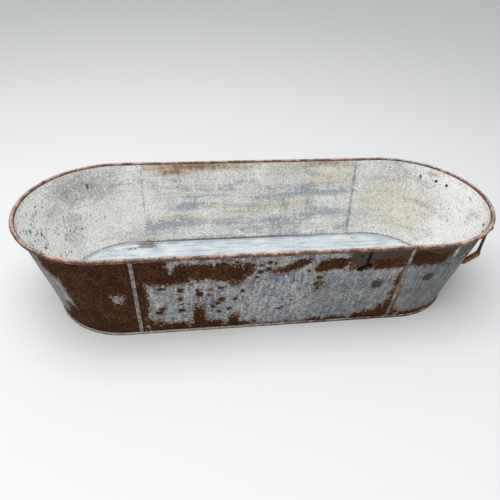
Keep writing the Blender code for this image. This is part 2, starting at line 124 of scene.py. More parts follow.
@dataclass(frozen=True)
class TroughSizes:
    """Sizes that several pieces share, measured on the frame."""

    seam_x: float
    wall_top: float
    wall_foot: float
    top_radius: float
    base_radius: float
    base_half: float
    floor_radius: float
    floor_top: float
    rim_radius: float
    rim_half: float
    rim_height: float
    roll_radius: float
    chime_height: float
    sheet: float = 0.0015
    gap: float = 0.0003
    foot_above_floor: float = 0.001

    @classmethod
    def measured(cls) -> "TroughSizes":
        """Read the sizes from the boxes of the frame's pieces.

        Returns:
            The sizes.
        """
        roll_low, roll_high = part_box("rim_roll_right_end")
        wall_low, wall_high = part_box("front_panel")
        chime_low, chime_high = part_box("chime_right_end")
        _, plate_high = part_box("bottom_plate")
        roll_radius = (roll_high.z - roll_low.z) / 2
        gap = cls.gap
        return cls(
            seam_x=wall_high.x + gap / 2, wall_top=wall_high.z, wall_foot=wall_low.z,
            top_radius=-wall_low.y, base_radius=chime_high.y,
            base_half=chime_high.x - chime_high.y, floor_radius=plate_high.y,
            floor_top=plate_high.z, rim_radius=roll_high.y - roll_radius,
            rim_half=roll_high.x - roll_high.y, rim_height=(roll_high.z + roll_low.z) / 2,
            roll_radius=roll_radius, chime_height=chime_high.z)

    @property
    def foot_top(self) -> float:
        """Height at which the upright foot turns into the flared wall."""
        return self.floor_top + self.foot_above_floor

    @property
    def foot_radius(self) -> float:
        """Outer radius of the upright foot in the round ends."""
        return self.floor_radius + self.gap + self.sheet

    def share(self, height: Any) -> Any:
        """How far up the flared wall a height lies, from 0 at its foot to 1 at its top."""
        return (height - self.foot_top) / (self.wall_top - self.foot_top)

    def radius(self, height: Any) -> Any:
        """Outer radius of the wall at a height."""
        return self.foot_radius + (self.top_radius - self.foot_radius) * self.share(height)

    def half(self, height: Any) -> Any:
        """Half the straight length of the wall at a height."""
        return self.base_half + (self.rim_half - self.base_half) * self.share(height)


@dataclass(frozen=True)
class Unrolled:
    """The wall laid out flat: distance along it from the middle of the front, and height.

    Distances run to the right round to the back, and are negative to the left.
    """

    sizes: TroughSizes
    straight: float = 0.458       # mean half length of the straight part
    bend: float = 0.25            # mean radius of the round ends

    @property
    def back_middle(self) -> float:
        """Distance from the middle of the front to the middle of the back."""
        return 2 * self.straight + math.pi * self.bend

    def flat(self, points: np.ndarray) -> np.ndarray:
        """Lay points out flat.

        Args:
            points: Rows of x, y and z.

        Returns:
            Rows of distance along the wall and height.
        """
        x, y, z = points.T
        seam = self.sizes.seam_x
        half = self.sizes.half(np.clip(z, self.sizes.foot_top, self.sizes.wall_top))
        reach = np.abs(x)
        beyond = seam + (reach - seam) * (self.straight - seam) / (half - seam)
        level = np.where(reach <= seam, reach, beyond)
        angle = np.arctan2(reach - half, -y)
        turned = self.straight + self.bend * angle
        rear = self.back_middle - level
        along = np.where(reach > half, turned, np.where(y < 0, level, rear))
        along = along * np.where(x < 0, -1.0, 1.0)
        back = (y > 0) & (reach <= seam + self.sizes.gap)
        along = np.where(back, self.back_middle - x, along)
        return np.stack([along, z], axis=1)


# Wear ----------------------------------------------------------------------------------------


@dataclass(frozen=True)
class Patch:
    """A worn area with soft edges on the laid-out wall: its middle, its half sizes, its depth."""

    along: float
    up: float
    half_along: float
    half_up: float
    depth: float = 1.0
    soft: float = 0.022
    lean: float = 0.0             # how far its top leans to the right, per metre of height

    def cover(self, where: np.ndarray) -> np.ndarray:
        """Share of wear at each place, 0.5 times the depth on the patch's edge.

        Args:
            where: Rows of distance along the wall and height.

        Returns:
            One share for each row.
        """
        rise = where[:, 1] - self.up
        run = where[:, 0] - self.along - self.lean * rise
        reach = (np.abs(run / self.half_along) ** 3 + np.abs(rise / self.half_up) ** 3) ** (1 / 3)
        distance = (reach - 1) * min(self.half_along, self.half_up)
        return self.depth * np.clip(0.5 - distance / self.soft, 0, 1)

    @classmethod
    def over(cls, left: float, right: float, low: float, high: float, depth: float = 1.0,
             soft: float = 0.034, lean: float = 0.0) -> "Patch":
        """A patch given by its extents along the wall and up it."""
        return cls((left + right) / 2, (low + high) / 2, (right - left) / 2, (high - low) / 2,
                   depth, soft, lean)

    def moved(self, distance: float) -> "Patch":
        """The same patch further along the wall."""
        return Patch(self.along + distance, self.up, self.half_along, self.half_up,
                     self.depth, self.soft, self.lean)


@dataclass(frozen=True)
class Wear:
    """One layer of wear: patches that add to it and patches kept clear of it."""

    layer: Layer
    worn: tuple[Patch, ...]
    kept: tuple[Patch, ...] = ()

    def amount(self, where: np.ndarray) -> np.ndarray:
        """Wear at each laid-out place, from 0 to 1.

        Args:
            where: Rows of distance along the wall and height.

        Returns:
            One number for each row.
        """
        total = np.zeros(len(where))
        for patch in self.worn:
            total = np.maximum(total, patch.cover(where))
        for patch in self.kept:
            total = total * (1 - patch.cover(where))
        return total


def put_layer(obj: bpy.types.Object, layer: Layer, amounts: np.ndarray) -> None:
    """Store one number for each vertex under the layer's name."""
    store = obj.data.attributes.new(layer.value, "FLOAT", "POINT")
    store.data.foreach_set("value", np.ascontiguousarray(amounts, dtype=np.float32))


def vertex_places(obj: bpy.types.Object) -> np.ndarray:
    """Rows of x, y and z of the object's vertices.

    Args:
        obj: The object.

    Returns:
        An array of three columns.
    """
    places = np.empty(len(obj.data.vertices) * 3, dtype=np.float32)
    obj.data.vertices.foreach_get("co", places)
    return places.reshape(-1, 3).astype(float)


# Shop tools ----------------------------------------------------------------------------------


class Workpiece:
    """A mesh shaped with edit-mode tools; what they act on is picked by place."""

    def __init__(self, obj: bpy.types.Object) -> None:
        """Take hold of an object."""
        self.obj = obj

    @classmethod
    def start(cls, name: str, add: Callable[..., Any], **how: Any) -> "Workpiece":
        """Add a primitive at its size and place.

        Args:
            name: Name of the new piece.
            add: The operator that adds the primitive.
            **how: The operator's settings.

        Returns:
            The new workpiece, its place held in its mesh.
        """
        bpy.ops.object.select_all(action="DESELECT")
        stretch = how.pop("scale", (1, 1, 1))
        add(**how)
        piece = cls(bpy.context.object)
        piece.rename(name)
        piece.obj.scale = stretch
        piece.settle()
        return piece

    @classmethod
    def traced(cls, name: str, points: Sequence[Vector], closed: bool = False) -> "Workpiece":
        """Draw a chain of edges by extruding one vertex from point to point.

        Args:
            name: Name of the new piece.
            points: The corners in order.
            closed: Whether the last corner is joined to the first.

        Returns:
            The new workpiece.
        """
        first = Vector(points[0])
        piece = cls.start(name, bpy.ops.mesh.primitive_plane_add, size=0.01, location=first)
        with piece:
            bpy.ops.mesh.select_mode(type="VERT")
            piece.pick_all()
            bpy.ops.mesh.merge(type="CENTER")
            for before, after in zip(points, points[1:]):
                piece.extrude(*(Vector(after) - Vector(before)))
            if closed:
                last = Vector(points[-1])
                piece.pick_verts(lambda p: (p - first).length < NEAR or (p - last).length < NEAR)
                bpy.ops.mesh.edge_face_add()
        return piece

    @classmethod
    def copy_of(cls, source: bpy.types.Object, name: str,
                matrix: Optional[Matrix] = None) -> "Workpiece":
        """Copy an object with a mesh of its own.

        Args:
            source: What to copy.
            name: Name of the copy.
            matrix: Where the copy goes, held in its mesh.

        Returns:
            The copy.
        """
        obj = bpy.data.objects.new(name, source.data.copy())
        obj.data.name = name
        bpy.context.scene.collection.objects.link(obj)
        piece = cls(obj)
        if matrix is not None:
            obj.matrix_basis = matrix
        piece.settle()
        return piece

    def rename(self, name: str) -> None:
        """Name the object and its mesh."""
        self.obj.name = name
        self.obj.data.name = name

    def hold(self) -> None:
        """Make this the only selected object and the active one."""
        bpy.ops.object.select_all(action="DESELECT")
        self.obj.select_set(True)
        bpy.context.view_layer.objects.active = self.obj

    def settle(self) -> None:
        """Hold the object's place, turn and scale in its mesh."""
        self.hold()
        bpy.ops.object.transform_apply(location=True, rotation=True, scale=True)

    def join(self, other: "Workpiece") -> None:
        """Make another workpiece part of this one.

        Args:
            other: The workpiece that is used up.
        """
        other.hold()
        self.obj.select_set(True)
        bpy.context.view_layer.objects.active = self.obj
        bpy.ops.object.join()

    def __enter__(self) -> "Workpiece":
        """Go into edit mode.

        Returns:
            This workpiece.
        """
        self.hold()
        bpy.ops.object.mode_set(mode="EDIT")
        return self

    def __exit__(self, *problem: Any) -> None:
        """Come back to object mode."""
        bpy.ops.object.mode_set(mode="OBJECT")

    def _pick(self, kind: str, chosen: Callable[[bmesh.types.BMesh], Iterable[Any]]) -> None:
        """Select only the chosen elements.

        Args:
            kind: VERT, EDGE or FACE.
            chosen: Gives the elements to select.
        """
        bpy.ops.mesh.select_mode(type=kind)
        bpy.ops.mesh.select_all(action="DESELECT")
        bm = bmesh.from_edit_mesh(self.obj.data)
        for item in chosen(bm):
            item.select_set(True)
        bm.select_flush_mode()
        bmesh.update_edit_mesh(self.obj.data)

    def pick_all(self) -> None:
        """Select everything."""
        bpy.ops.mesh.select_all(action="SELECT")

    def pick_verts(self, test: Callable[[Vector], bool]) -> None:
        """Select the vertices whose place passes the test."""
        self._pick("VERT", lambda bm: [v for v in bm.verts if test(v.co)])

    def pick_edges(self, test: Callable[[Vector, Vector], bool]) -> None:
        """Select the edges whose two ends pass the test."""
        self._pick("EDGE", lambda bm: [e for e in bm.edges if test(*(v.co for v in e.verts))])

    def pick_faces(self, test: Callable[[Vector, Vector], bool]) -> None:
        """Select the faces whose middle and normal pass the test."""
        self._pick("FACE", lambda bm: [f for f in bm.faces
                                       if test(f.calc_center_median(), f.normal)])

    def turn_over(self, wrong: Callable[[Vector, Vector], bool]) -> None:
        """Turn every face over if any passes the test of facing the wrong way."""
        self.pick_faces(wrong)
        if self.picked():
            self.pick_all()
            bpy.ops.mesh.flip_normals()

    def picked(self) -> list[int]:
        """Numbers of the selected vertices."""
        bm = bmesh.from_edit_mesh(self.obj.data)
        return [v.index for v in bm.verts if v.select]

    def pick_again(self, numbers: Iterable[int],
                   test: Callable[[Vector], bool] = lambda place: True) -> None:
        """Select those of the numbered vertices whose place passes the test."""
        def chosen(bm: bmesh.types.BMesh) -> list[Any]:
            """The numbered vertices that pass."""
            bm.verts.ensure_lookup_table()
            return [bm.verts[n] for n in numbers if test(bm.verts[n].co)]
        self._pick("VERT", chosen)

    def extrude(self, x: float = 0.0, y: float = 0.0, z: float = 0.0) -> None:
        """Extrude the selection and move the new part."""
        bpy.ops.mesh.extrude_region_move(TRANSFORM_OT_translate={"value": (x, y, z)})

    def move(self, x: float = 0.0, y: float = 0.0, z: float = 0.0) -> None:
        """Move the selection."""
        bpy.ops.transform.translate(value=(x, y, z))

    def scale(self, x: float = 1.0, y: float = 1.0, z: float = 1.0,
              about: Sequence[float] = (0.0, 0.0, 0.0)) -> None:
        """Scale the selection about a point."""
        bpy.ops.transform.resize(value=(x, y, z), center_override=tuple(about))

    def run(self, distance: float, steps: int) -> None:
        """Extrude the selection along the trough in equal steps."""
        for _ in range(steps):
            self.extrude(x=distance / steps)

    def spin(self, centre_x: float, steps: int) -> None:
        """Spin the selection half a turn round an end of the trough, from front to back."""
        bpy.ops.mesh.spin(steps=steps, angle=-math.pi, center=(centre_x, 0, 0), axis=(0, 0, 1))

    def tidy(self) -> None:
        """Merge doubles and turn every face outwards."""
        bpy.ops.mesh.select_mode(type="VERT")
        bpy.ops.mesh.select_all(action="SELECT")
        bpy.ops.mesh.remove_doubles(threshold=NEAR)
        bpy.ops.mesh.normals_make_consistent(inside=False)

    def modify(self, kind: str, **settings: Any) -> None:
        """Add a modifier and apply it.

        Args:
            kind: The modifier's type.
            **settings: Its properties.
        """
        self.hold()
        modifier = self.obj.modifiers.new(kind.lower(), kind)
        for key, value in settings.items():
            setattr(modifier, key, value)
        bpy.ops.object.modifier_apply(modifier=modifier.name)

    def weigh(self, name: str, weights: np.ndarray) -> None:
        """Make a vertex group of the weights."""
        group = self.obj.vertex_groups.new(name=name)
        for number, weight in enumerate(weights):
            if weight > 0:
                group.add([number], float(weight), "REPLACE")

    def roughen(self, size: float, depth: float, group: str = "", lift: float = 0.5,
                detail: int = 2) -> None:
        """Press soft unevenness into the surface.

        Args:
            size: Width of the bumps.
            depth: Height from the lowest to the highest.
            group: Vertex group that fades it, if any.
            lift: 0.5 for bumps both ways, 1 for hollows only.
            detail: How many finer octaves are added.
        """
        cloud = bpy.data.textures.new(f"{self.obj.name}_bumps", "CLOUDS")
        cloud.noise_scale = size
        cloud.noise_depth = detail
        self.modify("DISPLACE", texture=cloud, texture_coords="LOCAL", strength=depth,
                    mid_level=lift, vertex_group=group)
        bpy.data.textures.remove(cloud)

    def push(self, weights: np.ndarray, distance: float) -> None:
        """Push the surface up by a distance times the weights.

        Args:
            weights: One weight for each vertex.
            distance: How far a weight of 1 goes.
        """
        self.weigh("push", weights)
        self.modify("DISPLACE", strength=distance, mid_level=0.0, vertex_group="push",
                    direction="Z")
        self.obj.vertex_groups.remove(self.obj.vertex_groups["push"])

    def shade(self) -> None:
        """Smooth the shading except at sharp edges."""
        self.hold()
        bpy.ops.object.shade_smooth_by_angle(angle=SMOOTH_BELOW)

    def coat(self, *finishes: bpy.types.Material) -> None:
        """Give the piece its materials, in slot order, all over in the first."""
        self.obj.data.materials.clear()
        for finish in finishes:
            self.obj.data.materials.append(finish)

    def done(self, node: str, body: Body, slot: Slot) -> bpy.types.Object:
        """Smooth the finished piece and put it in the frame.

        Args:
            node: The frame's piece that it stands for.
            body: The body that it rides on.
            slot: The record's slot for its finish; not used.

        Returns:
            The finished object.
        """
        while self.obj.vertex_groups:
            self.obj.vertex_groups.remove(self.obj.vertex_groups[0])
        self.shade()
        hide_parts(node)
        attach(self.obj, body.value)
        log.info("%s stands for %s: %d faces", self.obj.name, node, len(self.obj.data.polygons))
        return self.obj


# Shader tools --------------------------------------------------------------------------------

Feed = Union["Wire", float, Sequence[float]]


class Wire:
    """A number that varies over the surface; arithmetic on it adds Math nodes."""

    def __init__(self, net: "Net", socket: bpy.types.NodeSocket) -> None:
        """Wrap an output socket."""
        self.net = net
        self.socket = socket

    def _math(self, operation: str, first: Feed, second: Feed) -> "Wire":
        """Add one Math node."""
        return self.net.node("ShaderNodeMath", {"operation": operation}, {0: first, 1: second})

    def __add__(self, other: Feed) -> "Wire":
        """Sum."""
        return self._math("ADD", self, other)

    def __radd__(self, other: Feed) -> "Wire":
        """Sum with a number on the left."""
        return self._math("ADD", other, self)

    def __sub__(self, other: Feed) -> "Wire":
        """Difference."""
        return self._math("SUBTRACT", self, other)

    def __rsub__(self, other: Feed) -> "Wire":
        """Difference with a number on the left."""
        return self._math("SUBTRACT", other, self)

    def __mul__(self, other: Feed) -> "Wire":
        """Product."""
        return self._math("MULTIPLY", self, other)

    def above(self, low: float, high: float) -> "Wire":
        """Smooth step from 0 at the low value to 1 at the high one."""
        return self.net.node("ShaderNodeMapRange", {"interpolation_type": "SMOOTHSTEP"},
                             {"Value": self, "From Min": low, "From Max": high}, "Result")

    def below(self, low: float, high: float) -> "Wire":
        """Smooth step from 1 at the low value to 0 at the high one."""
        return 1.0 - self.above(low, high)


class Net:
    """The node net of one material."""

    def __init__(self, name: str) -> None:
        """Make the material with its shader.

        Args:
            name: The material's name.
        """
        self.material = bpy.data.materials.new(name)
        self.material.use_nodes = True
        self.tree = self.material.node_tree
        self.shader = self.tree.nodes["Principled BSDF"]
        self.place = self.node("ShaderNodeTexCoord", out="Object")

    def feed(self, socket: bpy.types.NodeSocket, value: Feed) -> None:
        """Link a wire to a socket, or set its number or colour."""
        if isinstance(value, Wire):
            self.tree.links.new(value.socket, socket)
        elif socket.type == "RGBA":
            socket.default_value = (*value, 1.0)
        else:
            socket.default_value = value

    def node(self, kind: str, settings: Optional[Mapping[str, Any]] = None,
             sockets: Optional[Mapping[Union[str, int], Feed]] = None,
             out: Union[str, int] = 0) -> Wire:
        """Add a node.

        Args:
            kind: The node's type.
            settings: Its properties, set before its sockets.
            sockets: Values or wires for its input sockets.
            out: The output socket wanted.

        Returns:
            The wire from that output.
        """
        made = self.tree.nodes.new(kind)
        for key, value in (settings or {}).items():
            setattr(made, key, value)
        for key, value in (sockets or {}).items():
            self.feed(made.inputs[key], value)
        return Wire(self, made.outputs[out])

    def layer(self, layer: Layer) -> Wire:
        """The painted amount of a layer of wear."""
        return self.node("ShaderNodeAttribute", {"attribute_name": layer.value}, out="Fac")

    def stretched(self, x: float, y: float, z: float) -> Wire:
        """Places on the piece, scaled along each axis."""
        return self.node("ShaderNodeMapping", {"vector_type": "POINT"},
                         {"Vector": self.place, "Scale": (x, y, z)})

    def noise(self, size: float, detail: float = 4.0, rough: float = 0.55,
              where: Optional[Wire] = None, warp: float = 0.0) -> Wire:
        """Cloudy noise whose features are about the given size, in metres.

        Args:
            size: Width of a feature.
            detail: How many finer octaves.
            rough: Weight of the finer octaves.
            where: Places to read, in place of the piece's own.
            warp: Distortion.

        Returns:
            Values around 0.5.
        """
        return self.node("ShaderNodeTexNoise", None,
                         {"Vector": where or self.place, "Scale": 1 / size, "Detail": detail,
                          "Roughness": rough, "Distortion": warp}, "Fac")

    def cells(self, size: float, where: Wire, out: str) -> Wire:
        """Cell pattern: the distance to each cell's seed, or its random colour."""
        return self.node("ShaderNodeTexVoronoi", None, {"Vector": where, "Scale": 1 / size}, out)

    def blend(self, share: Feed, first: Feed, second: Feed) -> Wire:
        """Mix two colours."""
        return self.node("ShaderNodeMix", {"data_type": "RGBA"}, {0: share, 6: first, 7: second}, 2)

    def bump(self, height: Wire, depth: float, strength: float) -> Wire:
        """Turn a height into a normal: depth is how deep 1 is, in metres."""
        return self.node("ShaderNodeBump", None,
                         {"Height": height, "Distance": depth, "Strength": strength})

    def finish(self, colour: Feed, roughness: Feed, metallic: Feed,
               normal: Optional[Wire] = None) -> bpy.types.Material:
        """Feed the shader and return the material.

        Args:
            colour: Base colour.
            roughness: Roughness.
            metallic: How metallic it is.
            normal: The normal, if it is not plain.

        Returns:
            The material.
        """
        self.feed(self.shader.inputs["Base Color"], colour)
        self.feed(self.shader.inputs["Roughness"], roughness)
        self.feed(self.shader.inputs["Metallic"], metallic)
        if normal is not None:
            self.feed(self.shader.inputs["Normal"], normal)
        return self.material


# Finishes ------------------------------------------------------------------------------------


@dataclass(frozen=True)
class Rust:
    """Old brown rust: dark scale with brown and orange grains, thin and tan where it starts."""

    scale: Colour = tint(36, 22, 12)
    brown: Colour = tint(92, 55, 29)
    orange: Colour = tint(150, 96, 50)
    fringe: Colour = tint(138, 108, 82)
    grain_size: float = 0.005
    fine_size: float = 0.0028
    cloud_size: float = 0.035

    def colour(self, net: Net, depth: Wire) -> Wire:
        """Colour of the rust.

        Args:
            net: The material's net.
            depth: How deep the rust is, from 0 at its fringe to 1.

        Returns:
            The colour wire.
        """
        grain = (net.noise(self.grain_size, 3.0, 0.75) * 0.65
                 + net.noise(self.fine_size, 2.0, 0.6) * 0.35)
        cloud = net.noise(self.cloud_size, 5.0, 0.6)
        brown = net.blend((grain + (cloud - 0.5) * 0.25).above(0.44, 0.6), self.scale, self.brown)
        warm = net.blend((grain + cloud * 0.4).above(0.79, 0.92) * 0.7, brown, self.orange)
        thin = net.blend(grain.above(0.4, 0.58), self.brown, self.fringe)
        browned = net.blend(depth.above(0.0, 0.35), thin, self.brown)
        return net.blend(depth.above(0.1, 0.6), browned, warm)


@dataclass(frozen=True)
class OutsideZinc:
    """Dull galvanised outside, speckled, streaked and stained, with painted fields of rust."""

    middle: Colour = tint(158, 157, 154)
    light: Colour = tint(206, 205, 203)
    blue: Colour = tint(118, 127, 138)
    dark: Colour = tint(66, 65, 62)
    pale: Colour = tint(216, 214, 208)
    dull: Colour = tint(88, 92, 90)
    stain: Colour = tint(124, 108, 92)
    film_and_shade: Colour = tint(62, 50, 34)
    tar: Colour = tint(12, 11, 11)
    rust: Rust = field(default_factory=Rust)
    metallic: float = 0.15
    shine: float = 0.1

    def make(self) -> bpy.types.Material:
        """Build the material.

        Returns:
            The material.
        """
        net = Net("outside_zinc")
        streak = net.noise(0.008, 3.0, 0.6, net.stretched(1.0, 1.0, 0.05))
        cloud = net.noise(0.07, 5.0, 0.6, warp=0.4)
        speck = net.noise(0.0062, 4.0, 0.75)
        flake = net.noise(0.018, 5.0, 0.7, warp=0.3)
        zinc = net.blend((cloud * 0.5 + flake * 0.5).above(0.42, 0.58), self.middle, self.blue)
        zinc = net.blend((speck * 0.6 + flake * 0.4).above(0.5, 0.6) * 0.7, zinc, self.dark)
        zinc = net.blend((speck * 0.6 + streak * 0.4).below(0.42, 0.5) * 0.65, zinc, self.light)
        # Dark even zinc: tarnished zinc, with painted shade over the right-hand end.
        dull_and_shade_share = (net.layer(Layer.DULL_AND_SHADE) + (flake - 0.5) * 0.5) * 0.85
        zinc = net.blend(dull_and_shade_share, zinc, self.dull)
        painted = net.layer(Layer.RUST)
        ragged = net.noise(0.028, 6.0, 0.65) - 0.5
        torn = net.noise(0.0075, 3.0, 0.7) - 0.5
        level = painted + ragged * 1.3 + torn * 1.7
        stray = net.noise(0.035, 6.0, 0.72, warp=0.3)
        halo = level.above(0.1, 0.45) * 0.5 + stray.above(0.58, 0.75) * 0.35
        stained = net.blend(halo, zinc, self.stain)
        smeared = (net.layer(Layer.BARE) + torn * 0.8 + ragged * 0.6).above(0.35, 0.7)
        stained = net.blend(smeared * 0.8, stained, self.pale)
        # Olive-brown skin, with painted shade under the front rim and over the right-hand end.
        film_and_shade = (net.layer(Layer.FILM_AND_SHADE) + ragged * 1.5 + torn * 1.5).above(0.2, 0.7)
        filmed_and_shaded = net.blend(film_and_shade * 0.92, stained, self.film_and_shade)
        rusty = level.above(0.34, 0.6)
        colour = net.blend(rusty, filmed_and_shaded, self.rust.colour(net, level.above(0.36, 0.95)))
        tar = (net.layer(Layer.TAR) + torn * 0.9 + ragged * 0.4).above(0.42, 0.55)
        colour = net.blend(tar, colour, self.tar)
        roughness = 0.55 + cloud * 0.15 + rusty * 0.25
        metallic = (1.0 - rusty) * self.metallic
        height = net.noise(0.004, 4.0, 0.7) * (0.25 + rusty * 0.75) + rusty * 0.6
        net.feed(net.shader.inputs["Specular IOR Level"], self.shine)
        return net.finish(colour, roughness, metallic, net.bump(height, 0.0013, 0.6))


@dataclass(frozen=True)
class InsideLime:
    """Pale zinc oxide and lime inside, clouded blue-grey, with tide lines, pits and rust runs."""

    white: Colour = tint(248, 246, 240)
    pale: Colour = tint(216, 213, 204)
    cream: Colour = tint(224, 214, 184)
    grey: Colour = tint(160, 163, 163)
    shade: Colour = tint(132, 130, 122)
    blue: Colour = tint(132, 144, 157)
    crease_dirt_and_shade: Colour = tint(84, 78, 70)
    pit: Colour = tint(36, 34, 32)
    rust: Colour = tint(134, 94, 64)
    tan: Colour = tint(184, 162, 138)
    pit_spacing: float = 0.015

    def make(self) -> bpy.types.Material:
        """Build the material.

        Returns:
            The material.
        """
        net = Net("inside_lime")
        cloud = net.noise(0.10, 6.0, 0.62, warp=0.5)
        patch = net.noise(0.045, 6.0, 0.68, net.stretched(0.6, 0.6, 1.0), warp=0.3)
        tide = net.noise(0.02, 4.0, 0.6, net.stretched(0.12, 0.12, 1.0))
        streak = net.noise(0.012, 4.0, 0.6, net.stretched(1.0, 1.0, 0.12))
        speck = net.noise(0.006, 4.0, 0.75)
        wide = net.noise(0.22, 3.0, 0.5, warp=0.4)
        bright = net.layer(Layer.PALE)
        clouded = (cloud - 0.5) * 1.3 + (wide - 0.5) * 0.6 - bright * 0.5
        base = net.blend(clouded.above(-0.3, 0.25), self.white, self.pale)
        creamy = net.layer(Layer.CREAM) * 0.8 + (patch - 0.5) * 1.2 + (tide - 0.5) * 1.0
        base = net.blend(creamy.above(0.1, 0.65) * 0.85, base, self.cream)
        greyed = (patch * 0.4 + tide * 0.3 + wide * 0.3 - bright * 0.06).above(0.48, 0.64)
        base = net.blend(greyed * (0.5 - bright * 0.25), base, self.grey)
        blued = (net.layer(Layer.BLUE) * 0.8 + (patch - 0.5) * 1.0 + (tide - 0.5) * 1.3
                 + (streak - 0.5) * 0.8 + (speck - 0.5) * 0.7).above(0.12, 0.62)
        base = net.blend(blued * 0.8, base, self.blue)
        scratch = net.noise(0.005, 4.0, 0.75, net.stretched(1.0, 1.0, 0.45))
        shaded = (net.layer(Layer.SHADE) + (patch - 0.5) * 1.6
                  + (scratch - 0.5) * 1.8).above(0.25, 0.95)
        base = net.blend(shaded * 0.6, base, self.shade)
        base = net.blend(speck.above(0.48, 0.6) * 0.55, base, self.grey)
        base = net.blend(speck.below(0.36, 0.5) * 0.7, base, self.white)
        base = net.blend(scratch.above(0.56, 0.67) * (0.55 - bright * 0.35), base, self.shade)
        ragged = net.noise(0.018, 6.0, 0.7, net.stretched(1.0, 1.0, 0.5)) - 0.5
        torn = net.noise(0.006, 3.0, 0.7) - 0.5
        level = net.layer(Layer.BLEED) + ragged * 1.1 + torn * 0.7
        base = net.blend(level.above(0.15, 0.6) * 0.65, base, self.tan)
        base = net.blend(level.above(0.5, 0.95) * 0.85, base, self.rust)
        spread = net.stretched(1.0, 1.0, 0.8)
        seeds = net.cells(self.pit_spacing, spread, "Distance")
        few = net.node("ShaderNodeSeparateColor", None,
                       {"Color": net.cells(self.pit_spacing, spread, "Color")})
        pits = net.layer(Layer.PITS)
        pitted = ((seeds + torn * 1.9 + ragged * 0.6).below(0.0, 0.2)
                  * (few + pits * 0.7).above(0.98, 1.04))
        jagged = net.noise(0.015, 5.0, 0.75, net.stretched(1.0, 1.0, 0.7), warp=0.5)
        torn_pits = (jagged + (pits - 1.0) * 0.25).above(0.605, 0.635)
        spots = (net.layer(Layer.SPOTS) + torn * 1.3 + ragged * 0.5).above(0.5, 0.66)
        dark = (pitted + torn_pits + spots).above(0.0, 0.9)
        # Dark lines along the wall's foot and beside the seam laps: dirt with painted shade.
        crease_dirt_and_shade_share = (net.layer(Layer.CREASE) + torn * 1.0 + ragged * 0.6).above(0.15, 0.75)
        base = net.blend(crease_dirt_and_shade_share * 0.75, base, self.crease_dirt_and_shade)
        colour = net.blend(dark * 0.9, base, self.pit)
        height = speck * 0.5 + patch * 0.3 - dark * 0.6
        return net.finish(colour, 0.6 + patch * 0.2, 0.05, net.bump(height, 0.0009, 0.5))


@dataclass(frozen=True)
class FloorZinc:
    """Scoured floor sheet: bluish white, with greyer scuffs along it."""

    white: Colour = tint(218, 224, 226)
    blue: Colour = tint(182, 194, 202)
    grey: Colour = tint(152, 158, 160)
    rust: Colour = tint(112, 82, 60)

    def make(self) -> bpy.types.Material:
        """Build the material.

        Returns:
            The material.
        """
        net = Net("floor_zinc")
        cloud = net.noise(0.09, 6.0, 0.65, warp=0.4)
        scuff = net.noise(0.012, 4.0, 0.65, net.stretched(0.15, 1.0, 1.0))
        grain = net.noise(0.003, 3.0, 0.75)
        base = net.blend((cloud * 0.6 + scuff * 0.4).above(0.36, 0.64), self.white, self.blue)
        base = net.blend(scuff.above(0.5, 0.68) * 0.6, base, self.grey)
        base = net.blend(grain.above(0.5, 0.72) * 0.35, base, self.grey)
        torn = net.noise(0.009, 5.0, 0.75) - 0.5
        level = net.layer(Layer.RUST) + torn * 1.9
        base = net.blend(level.above(0.36, 0.5) * 0.75, base, self.rust)
        normal = net.bump(grain * 0.6 + cloud * 0.4, 0.0007, 0.5)
        return net.finish(base, 0.5 + cloud * 0.15, 0.12, normal)


@dataclass(frozen=True)
class RimRust:
    """Rusted rolled rim: brown scale, pale and pink on top, partly dusty and partly painted
    highlight, with grey zinc left in places.
    """

    scale: Colour = tint(66, 46, 38)
    brown: Colour = tint(112, 77, 62)
    copper: Colour = tint(152, 104, 84)
    dust_and_highlight: Colour = tint(208, 184, 168)
    zinc: Colour = tint(170, 170, 166)

    def make(self) -> bpy.types.Material:
        """Build the material.

        Returns:
            The material.
        """
        net = Net("rim_rust")
        cloud = net.noise(0.04, 6.0, 0.65, warp=0.3)
        fleck = net.noise(0.005, 3.0, 0.65)
        grain = net.noise(0.0018, 3.0, 0.75)
        top = net.layer(Layer.TOP)
        base = net.blend((fleck + cloud * 0.6).above(0.66, 0.92), self.scale, self.brown)
        base = net.blend((cloud * 0.7 + fleck * 0.5).above(0.58, 0.74), base, self.copper)
        # Pale top of the roll: partly dusty, partly painted highlight where the light falls,
        # following the TOP layer.
        dust_and_highlight_share = (top * 0.9 + (cloud - 0.5) * 1.2 + (fleck - 0.5) * 0.9 + (grain - 0.5) * 0.5)
        base = net.blend(dust_and_highlight_share.above(0.4, 1.1) * 0.85, base, self.dust_and_highlight)
        bare = (net.layer(Layer.BARE) + (cloud - 0.5) * 1.1
                + (fleck - 0.5) * 0.8).above(0.42, 0.58)
        colour = net.blend(bare * 0.85, base, self.zinc)
        normal = net.bump(fleck * 0.6 + grain * 0.4 - bare * 0.2, 0.0011, 0.8)
        return net.finish(colour, 0.78 - bare * 0.2, bare * 0.2, normal)


@dataclass(frozen=True)
class SeamZinc:
    """Folded seam: rubbed zinc mottled with brown dirt and rust, most of it at the foot."""

    light: Colour = tint(160, 156, 150)
    grey: Colour = tint(108, 106, 103)
    brown: Colour = tint(82, 62, 50)

    def make(self) -> bpy.types.Material:
        """Build the material.

        Returns:
            The material.
        """
        net = Net("seam_zinc")
        along = net.noise(0.02, 5.0, 0.65)
        fleck = net.noise(0.004, 4.0, 0.7)
        zinc = net.blend((fleck * 0.7 + along * 0.3).above(0.42, 0.62), self.light, self.grey)
        level = net.layer(Layer.RUST) * 0.75 + (along - 0.5) * 1.1 + (fleck - 0.5) * 1.0
        rusty = level.above(0.3, 0.6)
        colour = net.blend(rusty * 0.9, zinc, self.brown)
        normal = net.bump(fleck, 0.0008, 0.6)
        return net.finish(colour, 0.55 + rusty * 0.25, (1.0 - rusty) * 0.25, normal)


